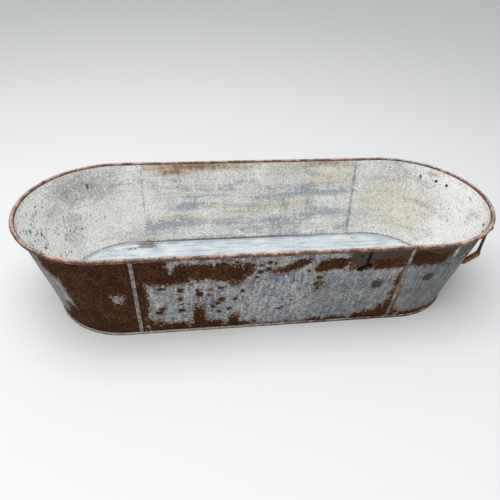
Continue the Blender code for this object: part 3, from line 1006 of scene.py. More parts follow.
@dataclass(frozen=True)
class ChimeSteel:
    """Chime scraped bright along its top and brown below: bare metal with painted highlight where
    its top catches the light, and rust with painted shade on its outer face.
    """

    scraped: Colour = tint(184, 172, 160)
    grey: Colour = tint(104, 99, 94)
    brown: Colour = tint(78, 58, 46)

    def make(self) -> bpy.types.Material:
        """Build the material.

        Returns:
            The material.
        """
        net = Net("chime_steel")
        along = net.noise(0.025, 6.0, 0.65)
        fleck = net.noise(0.004, 4.0, 0.7)
        metal = net.blend(fleck.above(0.45, 0.65), self.scraped, self.grey)
        level = net.layer(Layer.BARE) + (along - 0.5) * 1.3 + (fleck - 0.5) * 0.9
        bare = level.above(0.35, 0.62)
        colour = net.blend(bare, self.brown, metal)
        normal = net.bump(fleck * 0.6 + along * 0.4, 0.001, 0.7)
        return net.finish(colour, 0.8 - bare * 0.25, bare * 0.25, normal)


@dataclass(frozen=True)
class ForgedIron:
    """Forged iron with dark scale and brown rust, for lugs and rivets."""

    name: str = "lug_iron"
    scale: Colour = tint(46, 38, 34)
    brown: Colour = tint(88, 60, 44)
    orange: Colour = tint(138, 88, 52)
    grain_size: float = 0.0025

    def make(self) -> bpy.types.Material:
        """Build the material.

        Returns:
            The material.
        """
        net = Net(self.name)
        cloud = net.noise(0.014, 5.0, 0.65)
        grain = net.noise(self.grain_size, 4.0, 0.75)
        base = net.blend((cloud * 0.6 + grain * 0.5).above(0.46, 0.7), self.scale, self.brown)
        base = net.blend((grain + cloud * 0.4).above(0.78, 0.95) * 0.8, base, self.orange)
        normal = net.bump(grain * 0.6 + cloud * 0.4, 0.0012, 0.8)
        return net.finish(base, 0.72 + cloud * 0.16, 0.2, normal)


@dataclass(frozen=True)
class BailIron:
    """Bail: grey-brown legs worn by the hand, and a thick grip in bright orange rust."""

    leg: Colour = tint(92, 86, 80)
    dark: Colour = tint(52, 44, 38)
    grip: Colour = tint(158, 100, 48)
    pale: Colour = tint(186, 136, 84)

    def make(self) -> bpy.types.Material:
        """Build the material.

        Returns:
            The material.
        """
        net = Net("bail_iron")
        cloud = net.noise(0.012, 5.0, 0.65)
        grain = net.noise(0.002, 4.0, 0.75)
        thick = net.layer(Layer.TOP)
        leg = net.blend((cloud * 0.6 + grain * 0.4).above(0.42, 0.62), self.dark, self.leg)
        grip = net.blend(grain.above(0.42, 0.68), self.grip, self.pale)
        grip = net.blend((cloud + grain * 0.3).above(0.66, 0.82) * 0.7, grip, self.dark)
        rusty = (thick + (cloud - 0.5) * 0.9).above(0.3, 0.7)
        colour = net.blend(rusty, leg, grip)
        normal = net.bump(grain * 0.5 + cloud * 0.5, 0.0012, 0.8)
        return net.finish(colour, 0.7 + rusty * 0.15, (1.0 - rusty) * 0.25, normal)


@dataclass(frozen=True)
class RodSteel:
    """Brown steel rod inside the rim."""

    dark: Colour = tint(60, 44, 36)
    brown: Colour = tint(104, 72, 54)

    def make(self) -> bpy.types.Material:
        """Build the material.

        Returns:
            The material.
        """
        net = Net("rod_steel")
        fleck = net.noise(0.006, 5.0, 0.7)
        colour = net.blend(fleck.above(0.4, 0.62), self.dark, self.brown)
        return net.finish(colour, 0.7 + fleck * 0.15, 0.3, net.bump(fleck, 0.0006, 0.6))


@dataclass(frozen=True)
class Finishes:
    """Every finish, made once."""

    outside: bpy.types.Material
    inside: bpy.types.Material
    floor: bpy.types.Material
    rim: bpy.types.Material
    seam: bpy.types.Material
    chime: bpy.types.Material
    lug: bpy.types.Material
    rivet: bpy.types.Material
    bail: bpy.types.Material
    rod: bpy.types.Material

    @classmethod
    def made(cls) -> "Finishes":
        """Build all the materials."""
        return cls(OutsideZinc().make(), InsideLime().make(), FloorZinc().make(),
                   RimRust().make(), SeamZinc().make(), ChimeSteel().make(),
                   ForgedIron().make(), ForgedIron("rivet_iron", grain_size=0.0015).make(),
                   BailIron().make(), RodSteel().make())


# Wear of the walls ---------------------------------------------------------------------------


@dataclass(frozen=True)
class WallWear:
    """Where the wall sheets are worn, on the laid-out wall."""

    around: float                 # distance from the middle of the front to that of the back
    turned: float                 # distance to where the back starts
    bend: float                   # mean radius of the round ends
    seam_x: float

    def fields(self) -> tuple[Patch, ...]:
        """Wide areas of rust on the front and round its left end."""
        return tuple(Patch.over(*extents) for extents in (
            (-0.603, -0.380, -0.060, 0.380), (-0.645, -0.560, 0.228, 0.380),
            (-0.655, -0.560, -0.060, 0.108), (-0.695, -0.560, -0.060, 0.066),
            (-0.416, -0.364, -0.040, 0.380), (-0.392, -0.300, 0.270, 0.350),
            (-0.392, -0.230, 0.216, 0.301), (-0.250, -0.165, 0.230, 0.298),
            (-0.185, -0.120, 0.222, 0.296), (-0.135, -0.082, 0.206, 0.294),
            (-0.100, -0.062, 0.247, 0.292), (-0.375, -0.349, -0.040, 0.070),
            (-0.365, -0.328, -0.040, 0.052), (-0.350, -0.240, -0.040, 0.041),
            (-0.260, -0.135, -0.040, 0.044), (-0.195, -0.040, -0.030, 0.030),
            (-0.060, 0.125, -0.020, 0.013), (0.110, 0.290, -0.030, 0.022),
            (0.270, 0.325, -0.030, 0.035), (0.305, 0.365, -0.030, 0.050),
            (0.340, 0.388, -0.030, 0.068), (0.368, 0.398, -0.030, 0.100),
            (0.397, 0.432, -0.030, 0.040), (0.430, 0.620, -0.030, 0.026),
            (-0.860, -0.800, -0.060, 0.380)))

    def blotches(self) -> tuple[Patch, ...]:
        """Smaller ragged patches of rust."""
        soft = 0.026
        return tuple(Patch.over(left, right, low, high, 1.1, soft, lean)
                     for left, right, low, high, lean in (
            (-0.236, -0.200, 0.000, 0.126, 0.0), (-0.126, -0.095, 0.000, 0.066, 0.0),
            (0.380, 0.396, 0.000, 0.132, 0.0), (0.380, 0.391, 0.158, 0.212, 0.0),
            (0.397, 0.411, 0.000, 0.132, 0.0), (-0.001, 0.048, 0.246, 0.270, 0.6),
            (0.032, 0.066, 0.256, 0.278, 0.6), (0.050, 0.092, 0.262, 0.295, 0.6),
            (0.118, 0.162, 0.240, 0.285, 0.3), (0.140, 0.211, 0.248, 0.294, 0.3),
            (0.394, 0.462, 0.250, 0.306, -0.2), (0.430, 0.492, 0.246, 0.296, 0.3),
            (0.470, 0.512, 0.262, 0.296, 0.5), (0.785, 0.832, 0.098, 0.152, 0.0),
            (0.225, 0.300, 0.244, 0.262, 0.0), (0.290, 0.398, 0.240, 0.282, 0.0)))

    def specks(self) -> tuple[Patch, ...]:
        """Single rust spots on the front."""
        return tuple(Patch(along, up, half, half * tall, 1.15, 0.018)
                     for along, up, half, tall in (
            (0.135, 0.215, 0.008, 0.8), (0.128, 0.188, 0.004, 1.0), (0.137, 0.168, 0.005, 1.0),
            (0.155, 0.170, 0.003, 1.0), (-0.322, 0.203, 0.011, 0.6), (-0.272, 0.190, 0.007, 1.3),
            (-0.273, 0.155, 0.005, 1.3), (-0.270, 0.130, 0.004, 1.2), (-0.272, 0.100, 0.007, 1.0),
            (-0.217, 0.172, 0.008, 1.1), (-0.222, 0.188, 0.006, 0.9), (-0.185, 0.190, 0.006, 1.0),
            (-0.186, 0.165, 0.005, 1.1), (-0.155, 0.195, 0.006, 0.9), (-0.176, 0.112, 0.007, 0.9),
            (-0.164, 0.126, 0.007, 0.9), (-0.151, 0.142, 0.008, 1.0), (-0.325, 0.113, 0.007, 0.7),
            (-0.337, 0.095, 0.008, 0.7), (-0.160, 0.085, 0.006, 0.8), (-0.130, 0.095, 0.006, 1.0),
            (-0.110, 0.140, 0.005, 1.0), (-0.045, 0.255, 0.008, 0.7), (-0.020, 0.265, 0.007, 0.8),
            (-0.040, 0.280, 0.005, 1.0), (-0.018, 0.290, 0.006, 0.8), (0.000, 0.285, 0.004, 1.0),
            (0.025, 0.083, 0.007, 0.8), (0.040, 0.090, 0.003, 1.0), (0.012, 0.076, 0.003, 1.0),
            (-0.052, 0.232, 0.005, 1.0), (0.098, 0.248, 0.004, 1.0), (0.222, 0.262, 0.005, 1.0),
            (0.060, 0.120, 0.003, 1.0), (-0.090, 0.175, 0.004, 1.2), (-0.240, 0.215, 0.006, 1.0)))

    def rust(self) -> Wear:
        """Rust outside; the back repeats the front's, turned half round.

        Returns:
            The layer.
        """
        front = self.fields() + self.blotches() + self.specks()
        back = tuple(patch.moved(self.around)
                     for patch in self.fields()[4:22] + self.blotches()[:10])
        sides = (Patch(-1.200, 0.285, 0.090, 0.035), Patch(-1.050, 0.020, 0.200, 0.028),
                 Patch(-0.950, 0.230, 0.050, 0.060), Patch(1.150, 0.250, 0.080, 0.060),
                 Patch(1.050, 0.020, 0.180, 0.025), Patch(1.290, 0.080, 0.014, 0.080))
        kept = (Patch(-0.449, 0.165, 0.015, 0.018, 0.95, 0.034),
                Patch(-0.292, 0.287, 0.007, 0.020, 0.9, 0.014))
        return Wear(Layer.RUST, front + back + sides, kept)

    def film_and_shade(self) -> Wear:
        """Thin olive-brown skin on the zinc outside, with painted shade in it over the right-hand
        end and in a strip just under the front rim.
        """
        return Wear(Layer.FILM_AND_SHADE, (
            Patch.over(0.226, 0.410, 0.248, 0.350, 1.6, 0.04),
            Patch.over(0.390, 0.515, 0.250, 0.350, 1.5, 0.04),
            Patch(0.322, 0.170, 0.011, 0.012, 1.7, 0.022),
            Patch(0.340, 0.186, 0.018, 0.006, 0.9, 0.02),
            Patch(0.480, 0.190, 0.011, 0.011, 1.7, 0.022),
            Patch(0.140, 0.185, 0.020, 0.022, 0.7, 0.03),
            # Strip just under the front rim: painted shade of the rim.
            Patch(-0.120, 0.318, 0.100, 0.010, 0.5),
            # Over the right-hand end: olive-brown skin with painted shade.
            Patch.over(0.500, 1.000, 0.240, 0.350, 0.85, 0.10),
            Patch.over(0.620, 0.900, 0.060, 0.350, 0.50, 0.12),
            Patch(-0.700, 0.290, 0.060, 0.040, 0.4)))

    def dull(self) -> Wear:
        """Zinc that is dark and even outside: tarnished zinc, with painted shade over the right-hand
        end, which lies in shade.
        """
        return Wear(Layer.DULL_AND_SHADE, (
            Patch.over(0.390, 1.000, -0.100, 0.420, 0.75, 0.10),
            Patch.over(0.120, 0.400, -0.020, 0.240, 0.42, 0.10),
            Patch.over(-1.050, -0.600, -0.100, 0.420, 0.50, 0.10)))

    def smear(self) -> Wear:
        """Pale smears outside, just under the rim."""
        return Wear(Layer.BARE, (Patch(0.528, 0.292, 0.006, 0.020, 1.3, 0.012),
                                 Patch(0.534, 0.270, 0.004, 0.009, 1.1, 0.010),
                                 Patch(-0.293, 0.288, 0.006, 0.016, 0.7, 0.014)))

    def tar(self) -> Wear:
        """Black drips and spots outside."""
        return Wear(Layer.TAR, (Patch(0.271, 0.290, 0.0036, 0.026, 1.4, 0.014),
                                Patch(0.279, 0.256, 0.0060, 0.007, 1.3, 0.014),
                                Patch(0.266, 0.252, 0.0080, 0.007, 1.4, 0.014),
                                Patch(0.255, 0.242, 0.0080, 0.007, 1.4, 0.014),
                                Patch(0.247, 0.296, 0.0030, 0.003, 1.3, 0.012)))

    def blue(self) -> Wear:
        """Blue-grey clouds inside."""
        behind = self.around
        return Wear(Layer.BLUE, tuple(
            Patch.over(behind - right, behind - left, low, high, depth, 0.045)
            for left, right, low, high, depth in (
                (-0.290, -0.190, 0.140, 0.185, 0.9), (-0.310, -0.140, 0.228, 0.260, 0.7),
                (-0.150, -0.010, 0.232, 0.258, 0.7), (0.060, 0.390, 0.188, 0.232, 0.8),
                (0.040, 0.390, 0.088, 0.132, 0.75), (-0.010, 0.310, 0.038, 0.072, 0.75),
                (0.170, 0.390, 0.018, 0.052, 0.8), (0.378, 0.398, 0.028, 0.095, 1.0),
                (-0.395, -0.375, 0.085, 0.125, 0.9), (-0.400, 0.020, 0.014, 0.030, 1.0),
                (0.128, 0.142, 0.170, 0.240, 1.0), (0.219, 0.231, 0.170, 0.245, 1.0),
                (-0.250, 0.120, 0.080, 0.098, 0.55), (-0.350, -0.230, 0.075, 0.110, 1.0),
                (-0.300, 0.060, 0.196, 0.214, 0.6), (-0.120, 0.060, 0.150, 0.166, 0.6))))

    def bleed(self) -> Wear:
        """Rust that has run down inside from the rim.

        Returns:
            The layer.
        """
        behind = self.around
        runs = tuple(
            Patch(behind - x, z, half_along, half_up, depth, 0.03)
            for x, z, half_along, half_up, depth in (
                (-0.210, 0.318, 0.170, 0.016, 1.0), (-0.285, 0.300, 0.065, 0.016, 0.95),
                (0.280, 0.320, 0.080, 0.013, 0.9), (0.060, 0.326, 0.160, 0.006, 0.6),
                (-0.395, 0.320, 0.012, 0.012, 0.7)))
        return Wear(Layer.BLEED, runs + (
            Patch(0.60, 0.322, 0.25, 0.008, 0.6), Patch(-0.62, 0.322, 0.24, 0.010, 0.6),
            Patch(0.0, 0.320, 0.390, 0.010, 0.8)))

    def pits(self) -> Wear:
        """Where dark pits are crowded inside."""
        return Wear(Layer.PITS, (Patch(-0.850, 0.150, 0.260, 0.160, 0.7, 0.1),
                                 Patch.over(-0.950, -0.750, 0.090, 0.330, 1.15, 0.08),
                                 Patch.over(-1.080, -0.980, 0.060, 0.220, 0.85, 0.08),
                                 Patch(0.900, 0.150, 0.300, 0.200, 0.20, 0.1)))

    def spots(self) -> Wear:
        """Single dark blots inside."""
        return Wear(Layer.SPOTS, tuple(
            Patch(side * (self.turned - self.bend * math.radians(angle)), z, half_along, half_up,
                  1.0, 0.012)
            for side, angle, z, half_along, half_up in (
                (-1, 27, 0.267, 0.007, 0.008), (-1, 39, 0.244, 0.003, 0.003),
                (-1, 47, 0.190, 0.004, 0.004), (-1, 53, 0.142, 0.005, 0.004),
                (-1, 61, 0.073, 0.004, 0.005), (-1, 67, 0.268, 0.004, 0.003),
                (-1, 72, 0.283, 0.008, 0.003), (-1, 81, 0.253, 0.004, 0.003),
                (-1, 84, 0.243, 0.006, 0.003), (-1, 94, 0.245, 0.004, 0.003),
                (-1, 98, 0.285, 0.005, 0.003), (-1, 106, 0.292, 0.008, 0.004),
                (1, 13, 0.301, 0.006, 0.004), (1, 39, 0.288, 0.006, 0.007),
                (1, 55, 0.159, 0.004, 0.004), (1, 83, 0.296, 0.003, 0.003))) + (
            Patch(self.around + 0.272, 0.241, 0.004, 0.005, 1.0, 0.012),
            Patch(self.around + 0.235, 0.276, 0.003, 0.003, 1.0, 0.012),
            Patch(self.around + 0.072, 0.280, 0.006, 0.003, 0.9, 0.012)))

    def crease_dirt_and_shade(self) -> Wear:
        """Dark lines inside, along the foot of the wall and beside the seams: dirt, with painted
        shade in the corners there.

        Returns:
            The layer.
        """
        seams = tuple(Patch(side * where, 0.170, 0.0040, 0.180, 0.85, 0.010)
                      for side in (1, -1)
                      for where in (self.seam_x, self.around - self.seam_x))
        behind = self.around
        return Wear(Layer.CREASE, seams + (
            Patch(behind + 0.10, 0.0215, 0.420, 0.0045, 1.20, 0.010),
            Patch(behind - 0.55, 0.0215, 0.260, 0.0040, 0.95, 0.010),
            Patch(-behind + 0.10, 0.0215, 0.500, 0.0045, 1.20, 0.010)))

    def pale(self) -> Wear:
        """Where the inside is whitest."""
        return Wear(Layer.PALE, (Patch.over(-0.930, -0.740, -0.050, 0.380, 1.0, 0.12),
                                 Patch.over(0.760, 0.960, -0.050, 0.380, 1.0, 0.12),
                                 Patch.over(-1.150, -0.900, -0.050, 0.200, 0.5, 0.10)))

    def shade(self) -> Wear:
        """Where the inside has gone grey and scratched."""
        return Wear(Layer.SHADE, (Patch.over(-1.240, -0.960, 0.215, 0.325, 0.85, 0.08),
                                  Patch.over(-1.080, -0.980, 0.060, 0.230, 0.80, 0.07),
                                  Patch.over(-0.980, -0.930, 0.030, 0.110, 0.50, 0.07),
                                  Patch.over(1.020, 1.180, 0.230, 0.330, 0.55, 0.08)))

    def cream(self) -> Wear:
        """Level cream bands inside."""
        behind = self.around
        return Wear(Layer.CREAM, tuple(
            Patch.over(behind - right, behind - left, low, high, depth, 0.04)
            for left, right, low, high, depth in (
                (-0.360, -0.040, 0.108, 0.136, 0.9), (-0.140, 0.230, 0.145, 0.185, 0.9),
                (0.190, 0.390, 0.236, 0.285, 0.8), (0.420, 0.720, 0.070, 0.250, 0.6),
                (-0.390, 0.390, 0.280, 0.330, 0.35))))

    def inside(self) -> tuple[Wear, ...]:
        """Layers that the inside finish reads."""
        return (self.blue(), self.bleed(), self.crease_dirt_and_shade(), self.pale(), self.shade(),
                self.cream(), self.pits(), self.spots())

    def all(self) -> tuple[Wear, ...]:
        """Every layer of the wall sheets."""
        return (self.rust(), self.film_and_shade(), self.dull(), self.smear(), self.tar(), *self.inside())


# Sub-assemblies ------------------------------------------------------------------------------


@dataclass
class Walls:
    """The four wall sheets and the folded seams that join them."""

    sizes: TroughSizes
    flat: Unrolled
    wear: WallWear
    finishes: Finishes
    columns: int = 200            # faces along a side sheet
    rows: int = 72
    arc_columns: int = 180
    lead_columns: int = 10        # faces from a seam to where the end starts to turn
    dent_size: float = 0.22
    dent_depth: float = 0.0045
    ripple_size: float = 0.05
    ripple_depth: float = 0.0012
    lug_height: float = 0.29
    lug_reach: float = 0.03       # the sheets are stiff this far round a lug's middle
    held_margin: float = 0.04     # the sheets are stiff this close to a seam, the rim or the chime
    seam_width: float = 0.011
    seam_proud: float = 0.0035
    seam_rounding: float = 0.0007
    seam_cuts: int = 48
    hammer_size: float = 0.018
    hammer_depth: float = 0.0007
    lap_width: float = 0.0032     # the lower step of the fold
    lap_drop: float = 0.0014
    inner_lap_width: float = 0.007
    inner_lap_proud: float = 0.0007
    inner_lap_rounding: float = 0.0003
    inner_lap_cuts: int = 24
    rusty_right: float = 0.62     # how rusty the seams are all along, to the right
    rusty_left: float = 0.36

    def build(self) -> None:
        """Make the sheets and the seams."""
        front = self.side_blank("front_sheet")
        back = Workpiece.copy_of(front.obj, "back_sheet", HALF_TURN)
        self.dress_sheet(front, "front_panel", Slot.SIDE_SHEET)
        self.dress_sheet(back, "back_panel", Slot.SIDE_SHEET)
        right = self.end_blank("right_end_sheet")
        left = Workpiece.copy_of(right.obj, "left_end_sheet", HALF_TURN)
        self.dress_sheet(right, "right_end_panel", Slot.END_SHEET)
        self.dress_sheet(left, "left_end_panel", Slot.END_SHEET)
        for near, far, side in (("front_right", "back_left", 1), ("front_left", "back_right", -1)):
            seam = self.seam_blank(f"{near}_fold", side * self.sizes.seam_x)
            turned = Workpiece.copy_of(seam.obj, f"{far}_fold", HALF_TURN)
            self.dress_seam(seam, f"seam_{near}")
            self.dress_seam(turned, f"seam_{far}")

    def side_blank(self, name: str) -> Workpiece:
        """Flat front sheet with its upright foot, without thickness.

        Args:
            name: Name of the piece.

        Returns:
            The blank.
        """
        s = self.sizes
        rise = s.wall_top - s.foot_top
        spread = s.top_radius - s.foot_radius
        tilt = math.pi / 2 + math.atan2(spread, rise)
        middle = (0, -(s.top_radius + s.foot_radius) / 2, (s.wall_top + s.foot_top) / 2)
        piece = Workpiece.start(
            name, bpy.ops.mesh.primitive_grid_add, x_subdivisions=self.columns,
            y_subdivisions=self.rows, size=1.0, location=middle, rotation=(tilt, 0, 0),
            scale=(2 * s.seam_x - s.gap, math.hypot(rise, spread), 1))
        with piece:
            piece.pick_verts(lambda p: p.z < s.foot_top + NEAR)
            piece.extrude(z=s.wall_foot - s.foot_top)
        return piece

    def end_blank(self, name: str) -> Workpiece:
        """Right-hand end sheet without thickness, drawn up from half a circle.

        Args:
            name: Name of the piece.

        Returns:
            The blank.
        """
        s = self.sizes
        start = s.seam_x + s.gap / 2
        piece = Workpiece.start(
            name, bpy.ops.mesh.primitive_circle_add, vertices=2 * self.arc_columns,
            radius=s.foot_radius, fill_type="NOTHING", location=(s.base_half, 0, s.wall_foot))
        near_middle = 0.02
        grow = s.top_radius / s.foot_radius
        lead = (s.rim_half - start) / (s.base_half - start)
        with piece:
            piece.pick_verts(lambda p: p.x < s.base_half - NEAR)
            bpy.ops.mesh.delete(type="VERT")
            piece.pick_verts(lambda p: p.x < s.base_half + NEAR)
            piece.run(start - s.base_half, self.lead_columns)
            piece.pick_all()
            piece.extrude(z=s.foot_top - s.wall_foot)
            piece.extrude(z=s.wall_top - s.foot_top)
            ring = piece.picked()
            piece.scale(y=grow)
            piece.pick_again(ring, lambda p: p.x < s.base_half - NEAR)
            piece.scale(x=lead, about=(start, 0, 0))
            piece.pick_again(ring, lambda p: p.x > s.base_half - NEAR and
                             abs(p.y) < s.top_radius - NEAR)
            piece.scale(x=grow, about=(s.base_half, 0, 0))
            piece.move(x=s.rim_half - s.base_half)
            piece.pick_again(ring, lambda p: abs(p.x - s.base_half) < NEAR and
                             abs(p.y) > s.top_radius - NEAR)
            piece.move(x=s.rim_half - s.base_half)
            piece.pick_edges(lambda a, b: abs(a.z - b.z) > self.sizes.wall_top / 2)
            bpy.ops.mesh.subdivide(number_cuts=self.rows - 1)
            piece.pick_all()
            bpy.ops.mesh.normals_make_consistent(inside=False)
            piece.turn_over(lambda c, n: c.x > s.rim_half and abs(c.y) < near_middle and n.x < 0)
        return piece

    def freedom(self, piece: Workpiece) -> np.ndarray:
        """How free each vertex of a sheet is to be dented, from 0 at held margins to 1.

        Args:
            piece: The sheet.

        Returns:
            One share for each vertex.
        """
        where = self.flat.flat(vertex_places(piece.obj))
        up = where[:, 1]
        below_rim = (self.sizes.wall_top - up) / self.held_margin
        above_chime = (up - self.sizes.foot_top) / self.held_margin
        along = np.abs(where[:, 0])
        seams = (self.sizes.seam_x, self.flat.back_middle - self.sizes.seam_x)
        from_seam = np.minimum(*(np.abs(along - seam) for seam in seams)) / self.held_margin
        lug = np.minimum(*(np.hypot(along - middle, up - self.lug_height)
                           for middle in (self.lug_along(1), self.lug_along(-1))))
        from_lug = (lug - self.lug_reach) / self.held_margin
        nearest = np.minimum.reduce([below_rim, above_chime, from_seam, from_lug])
        share = np.clip(nearest, 0, 1)
        return share * share * (3 - 2 * share)

    def lug_along(self, side: int) -> float:
        """Distance along the wall of the front lug for 1, or the back lug for -1.

        Args:
            side: 1 for the front lug, -1 for the back one.

        Returns:
            The distance.
        """
        low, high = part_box("lug_right_front")
        middle = (low + high) / 2
        angle = math.atan2(middle.x - self.sizes.half(middle.z), -middle.y)
        near = self.flat.straight + self.flat.bend * angle
        return near if side > 0 else self.flat.back_middle - near

    def dress_sheet(self, piece: Workpiece, node: str, slot: Slot) -> None:
        """Dent a sheet, give it thickness and paint its wear.

        Args:
            piece: The blank.
            node: The frame's piece that it stands for.
            slot: The record's slot for its finish.
        """
        piece.coat(self.finishes.outside, self.finishes.inside)
        piece.weigh("free", self.freedom(piece))
        piece.roughen(self.dent_size, self.dent_depth, "free", detail=1)
        piece.roughen(self.ripple_size, self.ripple_depth, "free")
        piece.modify("SOLIDIFY", thickness=self.sizes.sheet, offset=-1.0, use_even_offset=True,
                     material_offset=1, material_offset_rim=0)
        self.paint(piece)
        piece.done(node, Body.TROUGH, slot)

    def paint(self, piece: Workpiece) -> None:
        """Put every layer of wear on a piece of the wall."""
        where = self.flat.flat(vertex_places(piece.obj))
        for wear in self.wear.all():
            put_layer(piece.obj, wear.layer, wear.amount(where))

    def seam_blank(self, name: str, x: float) -> Workpiece:
        """Folded lock seam on the front: a stepped band outside and a thin lap inside.

        Args:
            name: Name of the piece.
            x: Where it stands along the front.

        Returns:
            The blank.
        """
        s = self.sizes
        low = s.foot_top
        high = s.rim_height - s.roll_radius - s.gap
        slope = (s.top_radius - s.foot_radius) / (s.wall_top - s.foot_top)
        tilt = math.atan(slope)
        length = (high - low) / math.cos(tilt) - self.seam_proud * slope
        middle = (low + high) / 2

        def bar(part: str, width: float, depth: float, offset: float) -> Workpiece:
            """A long bar lying on the wall, its middle at an offset outwards from it.

            Args:
                part: Name of the bar.
                width: Its width along the wall.
                depth: How far it stands out.
                offset: Where its middle lies, outwards from the wall.

            Returns:
                The bar.
            """
            out = Vector((0, -math.cos(tilt), -math.sin(tilt))) * offset
            place = Vector((x, -s.radius(middle), middle)) + out
            return Workpiece.start(part, bpy.ops.mesh.primitive_cube_add, size=1.0,
                                   location=place, rotation=(tilt, 0, 0),
                                   scale=(width, depth, length))

        band = bar(name, self.seam_width, self.seam_proud, s.gap + self.seam_proud / 2)
        step_x = x + self.seam_width / 2 - self.lap_width
        with band:
            band.pick_all()
            bpy.ops.mesh.bisect(plane_co=(step_x, 0, 0), plane_no=(1, 0, 0))
            band.pick_faces(lambda c, n: n.y < -0.9 and c.x > step_x)
            band.move(y=self.lap_drop * math.cos(tilt), z=self.lap_drop * math.sin(tilt))
            self.round_and_cut(band, self.seam_rounding, self.seam_cuts)
        lap = bar(name + "_lap", self.inner_lap_width, self.inner_lap_proud,
                  -s.sheet - self.inner_lap_proud / 2 - s.gap / 3)
        with lap:
            self.round_and_cut(lap, self.inner_lap_rounding, self.inner_lap_cuts)
        band.join(lap)
        return band

    def round_and_cut(self, bar: Workpiece, width: float, cuts: int) -> None:
        """Round the long edges of a bar and cut it across.

        Args:
            bar: The bar, in edit mode.
            width: Width of the rounding.
            cuts: How many cuts.
        """
        long = self.sizes.wall_top / 3
        bar.pick_edges(lambda a, b: abs(a.z - b.z) > long)
        bpy.ops.mesh.bevel(offset=width, segments=2, affect="EDGES")
        bar.pick_edges(lambda a, b: abs(a.z - b.z) > long)
        bpy.ops.mesh.subdivide(number_cuts=cuts)

    def dress_seam(self, piece: Workpiece, node: str) -> None:
        """Hammer a seam slightly uneven and paint its wear.

        Args:
            piece: The blank.
            node: The frame's piece that it stands for.
        """
        piece.roughen(self.hammer_size, self.hammer_depth, detail=1)
        places = vertex_places(piece.obj)
        where = self.flat.flat(places)
        foot = Wear(Layer.RUST, (Patch(0.0, 0.04, 9.0, 0.05, 0.55, 0.06),))
        browned = np.where(where[:, 0] > 0, self.rusty_right, self.rusty_left)
        put_layer(piece.obj, Layer.RUST, np.maximum(
            np.maximum(self.wear.rust().amount(where) * 0.6, foot.amount(where)), browned))
        for wear in self.wear.inside():
            put_layer(piece.obj, wear.layer, wear.amount(where))
        piece.coat(self.finishes.seam, self.finishes.inside)
        inside = np.abs(places[:, 1]) < self.sizes.radius(places[:, 2]) - self.sizes.sheet / 2
        for face in piece.obj.data.polygons:
            face.material_index = int(inside[face.vertices[0]])
        piece.done(node, Body.TROUGH, Slot.SEAM)


@dataclass
class Rim:
    """Rolled edges of the four sheets, and the rod inside them."""

    sizes: TroughSizes
    flat: Unrolled
    finishes: Finishes
    sides: int = 32
    slit: tuple[float, float] = (180.0, 225.0)    # degrees over which the curl is open
    wave_size: float = 0.09
    wave_depth: float = 0.0012
    scale_size: float = 0.012
    scale_depth: float = 0.0008
    inwards: float = 0.75         # share of the unevenness that goes inwards
    steps_straight: int = 160
    steps_lead: int = 16
    steps_round: int = 190
    inside_box: float = 0.0003    # how far the roll stays inside its own outline for its roughness
    skirt: float = 0.0007         # how far the roll's first edge runs down towards the wall

    def build(self) -> None:
        """Make the four rolls and dress the rod."""
        s = self.sizes
        front = self.profile("front_roll", -(s.seam_x - s.gap / 2))
        with front:
            front.pick_verts(lambda p: True)
            front.run(2 * s.seam_x - s.gap, self.steps_straight)
            front.tidy()
        back = Workpiece.copy_of(front.obj, "back_roll", HALF_TURN)
        start = s.seam_x + s.gap / 2
        right = self.profile("right_end_roll", start)
        with right:
            right.pick_verts(lambda p: True)
            right.run(s.rim_half - start, self.steps_lead)
            right.spin(s.rim_half, self.steps_round)
            right.run(start - s.rim_half, self.steps_lead)
            right.tidy()
        left = Workpiece.copy_of(right.obj, "left_end_roll", HALF_TURN)
        for piece, node in ((front, "rim_roll_front"), (back, "rim_roll_back"),
                            (right, "rim_roll_right_end"), (left, "rim_roll_left_end")):
            self.dress(piece, node)
        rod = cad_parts["rim_rod"]
        for slot in rod.material_slots:
            slot.material = self.finishes.rod

    def profile(self, name: str, x: float) -> Workpiece:
        """Open curl of sheet, seen end on, at the front.

        Args:
            name: Name of the piece.
            x: Where the curl is drawn.

        Returns:
            The chain of edges.
        """
        s = self.sizes
        radius = s.roll_radius - self.inside_box
        centre = Vector((x, -s.rim_radius, s.rim_height))
        piece = Workpiece.start(name, bpy.ops.mesh.primitive_circle_add, vertices=self.sides,
                                radius=radius, fill_type="NOTHING", location=centre,
                                rotation=(0, math.pi / 2, 0))

        def angle(place: Vector) -> float:
            """Degrees from the outside, over the top, to the inside at 180."""
            return math.degrees(math.atan2(place.z - centre.z, centre.y - place.y)) % 360

        with piece:
            piece.pick_verts(lambda p: self.slit[0] + 1 < angle(p) < self.slit[1] - 1)
            bpy.ops.mesh.delete(type="VERT")
            piece.pick_verts(lambda p: abs(angle(p) - self.slit[0]) < 1)
            piece.extrude(z=-self.skirt)
        return piece

    def dress(self, piece: Workpiece, node: str) -> None:
        """Turn the roll right side out, thicken it, roughen it and paint its wear.

        Args:
            piece: The roll.
            node: The frame's piece that it stands for.
        """
        s = self.sizes
        with piece:
            piece.turn_over(lambda c, n: c.z > s.rim_height + s.roll_radius * 0.8 and n.z < 0)
        piece.roughen(self.wave_size, self.wave_depth, lift=self.inwards, detail=1)
        piece.roughen(self.scale_size, self.scale_depth, lift=self.inwards)
        piece.modify("SOLIDIFY", thickness=s.sheet, offset=-1.0, use_even_offset=True)
        places = vertex_places(piece.obj)
        where = self.flat.flat(places)
        # Share of the roll's upper half, where the rim finish paints highlight along with the dusty
        # pale tone.
        top = np.clip((places[:, 2] - s.rim_height) / s.roll_radius, 0, 1)
        put_layer(piece.obj, Layer.TOP, top)
        bare = Wear(Layer.BARE, (Patch(1.130, 0.330, 0.120, 0.05, 0.9, 0.08),
                                 Patch(1.50, 0.330, 0.13, 0.05, 0.35, 0.08),
                                 Patch(-1.10, 0.330, 0.10, 0.05, 0.35, 0.08)))
        put_layer(piece.obj, Layer.BARE, bare.amount(where) * top)
        piece.coat(self.finishes.rim)
        piece.done(node, Body.TROUGH, Slot.RIM_ROLL)


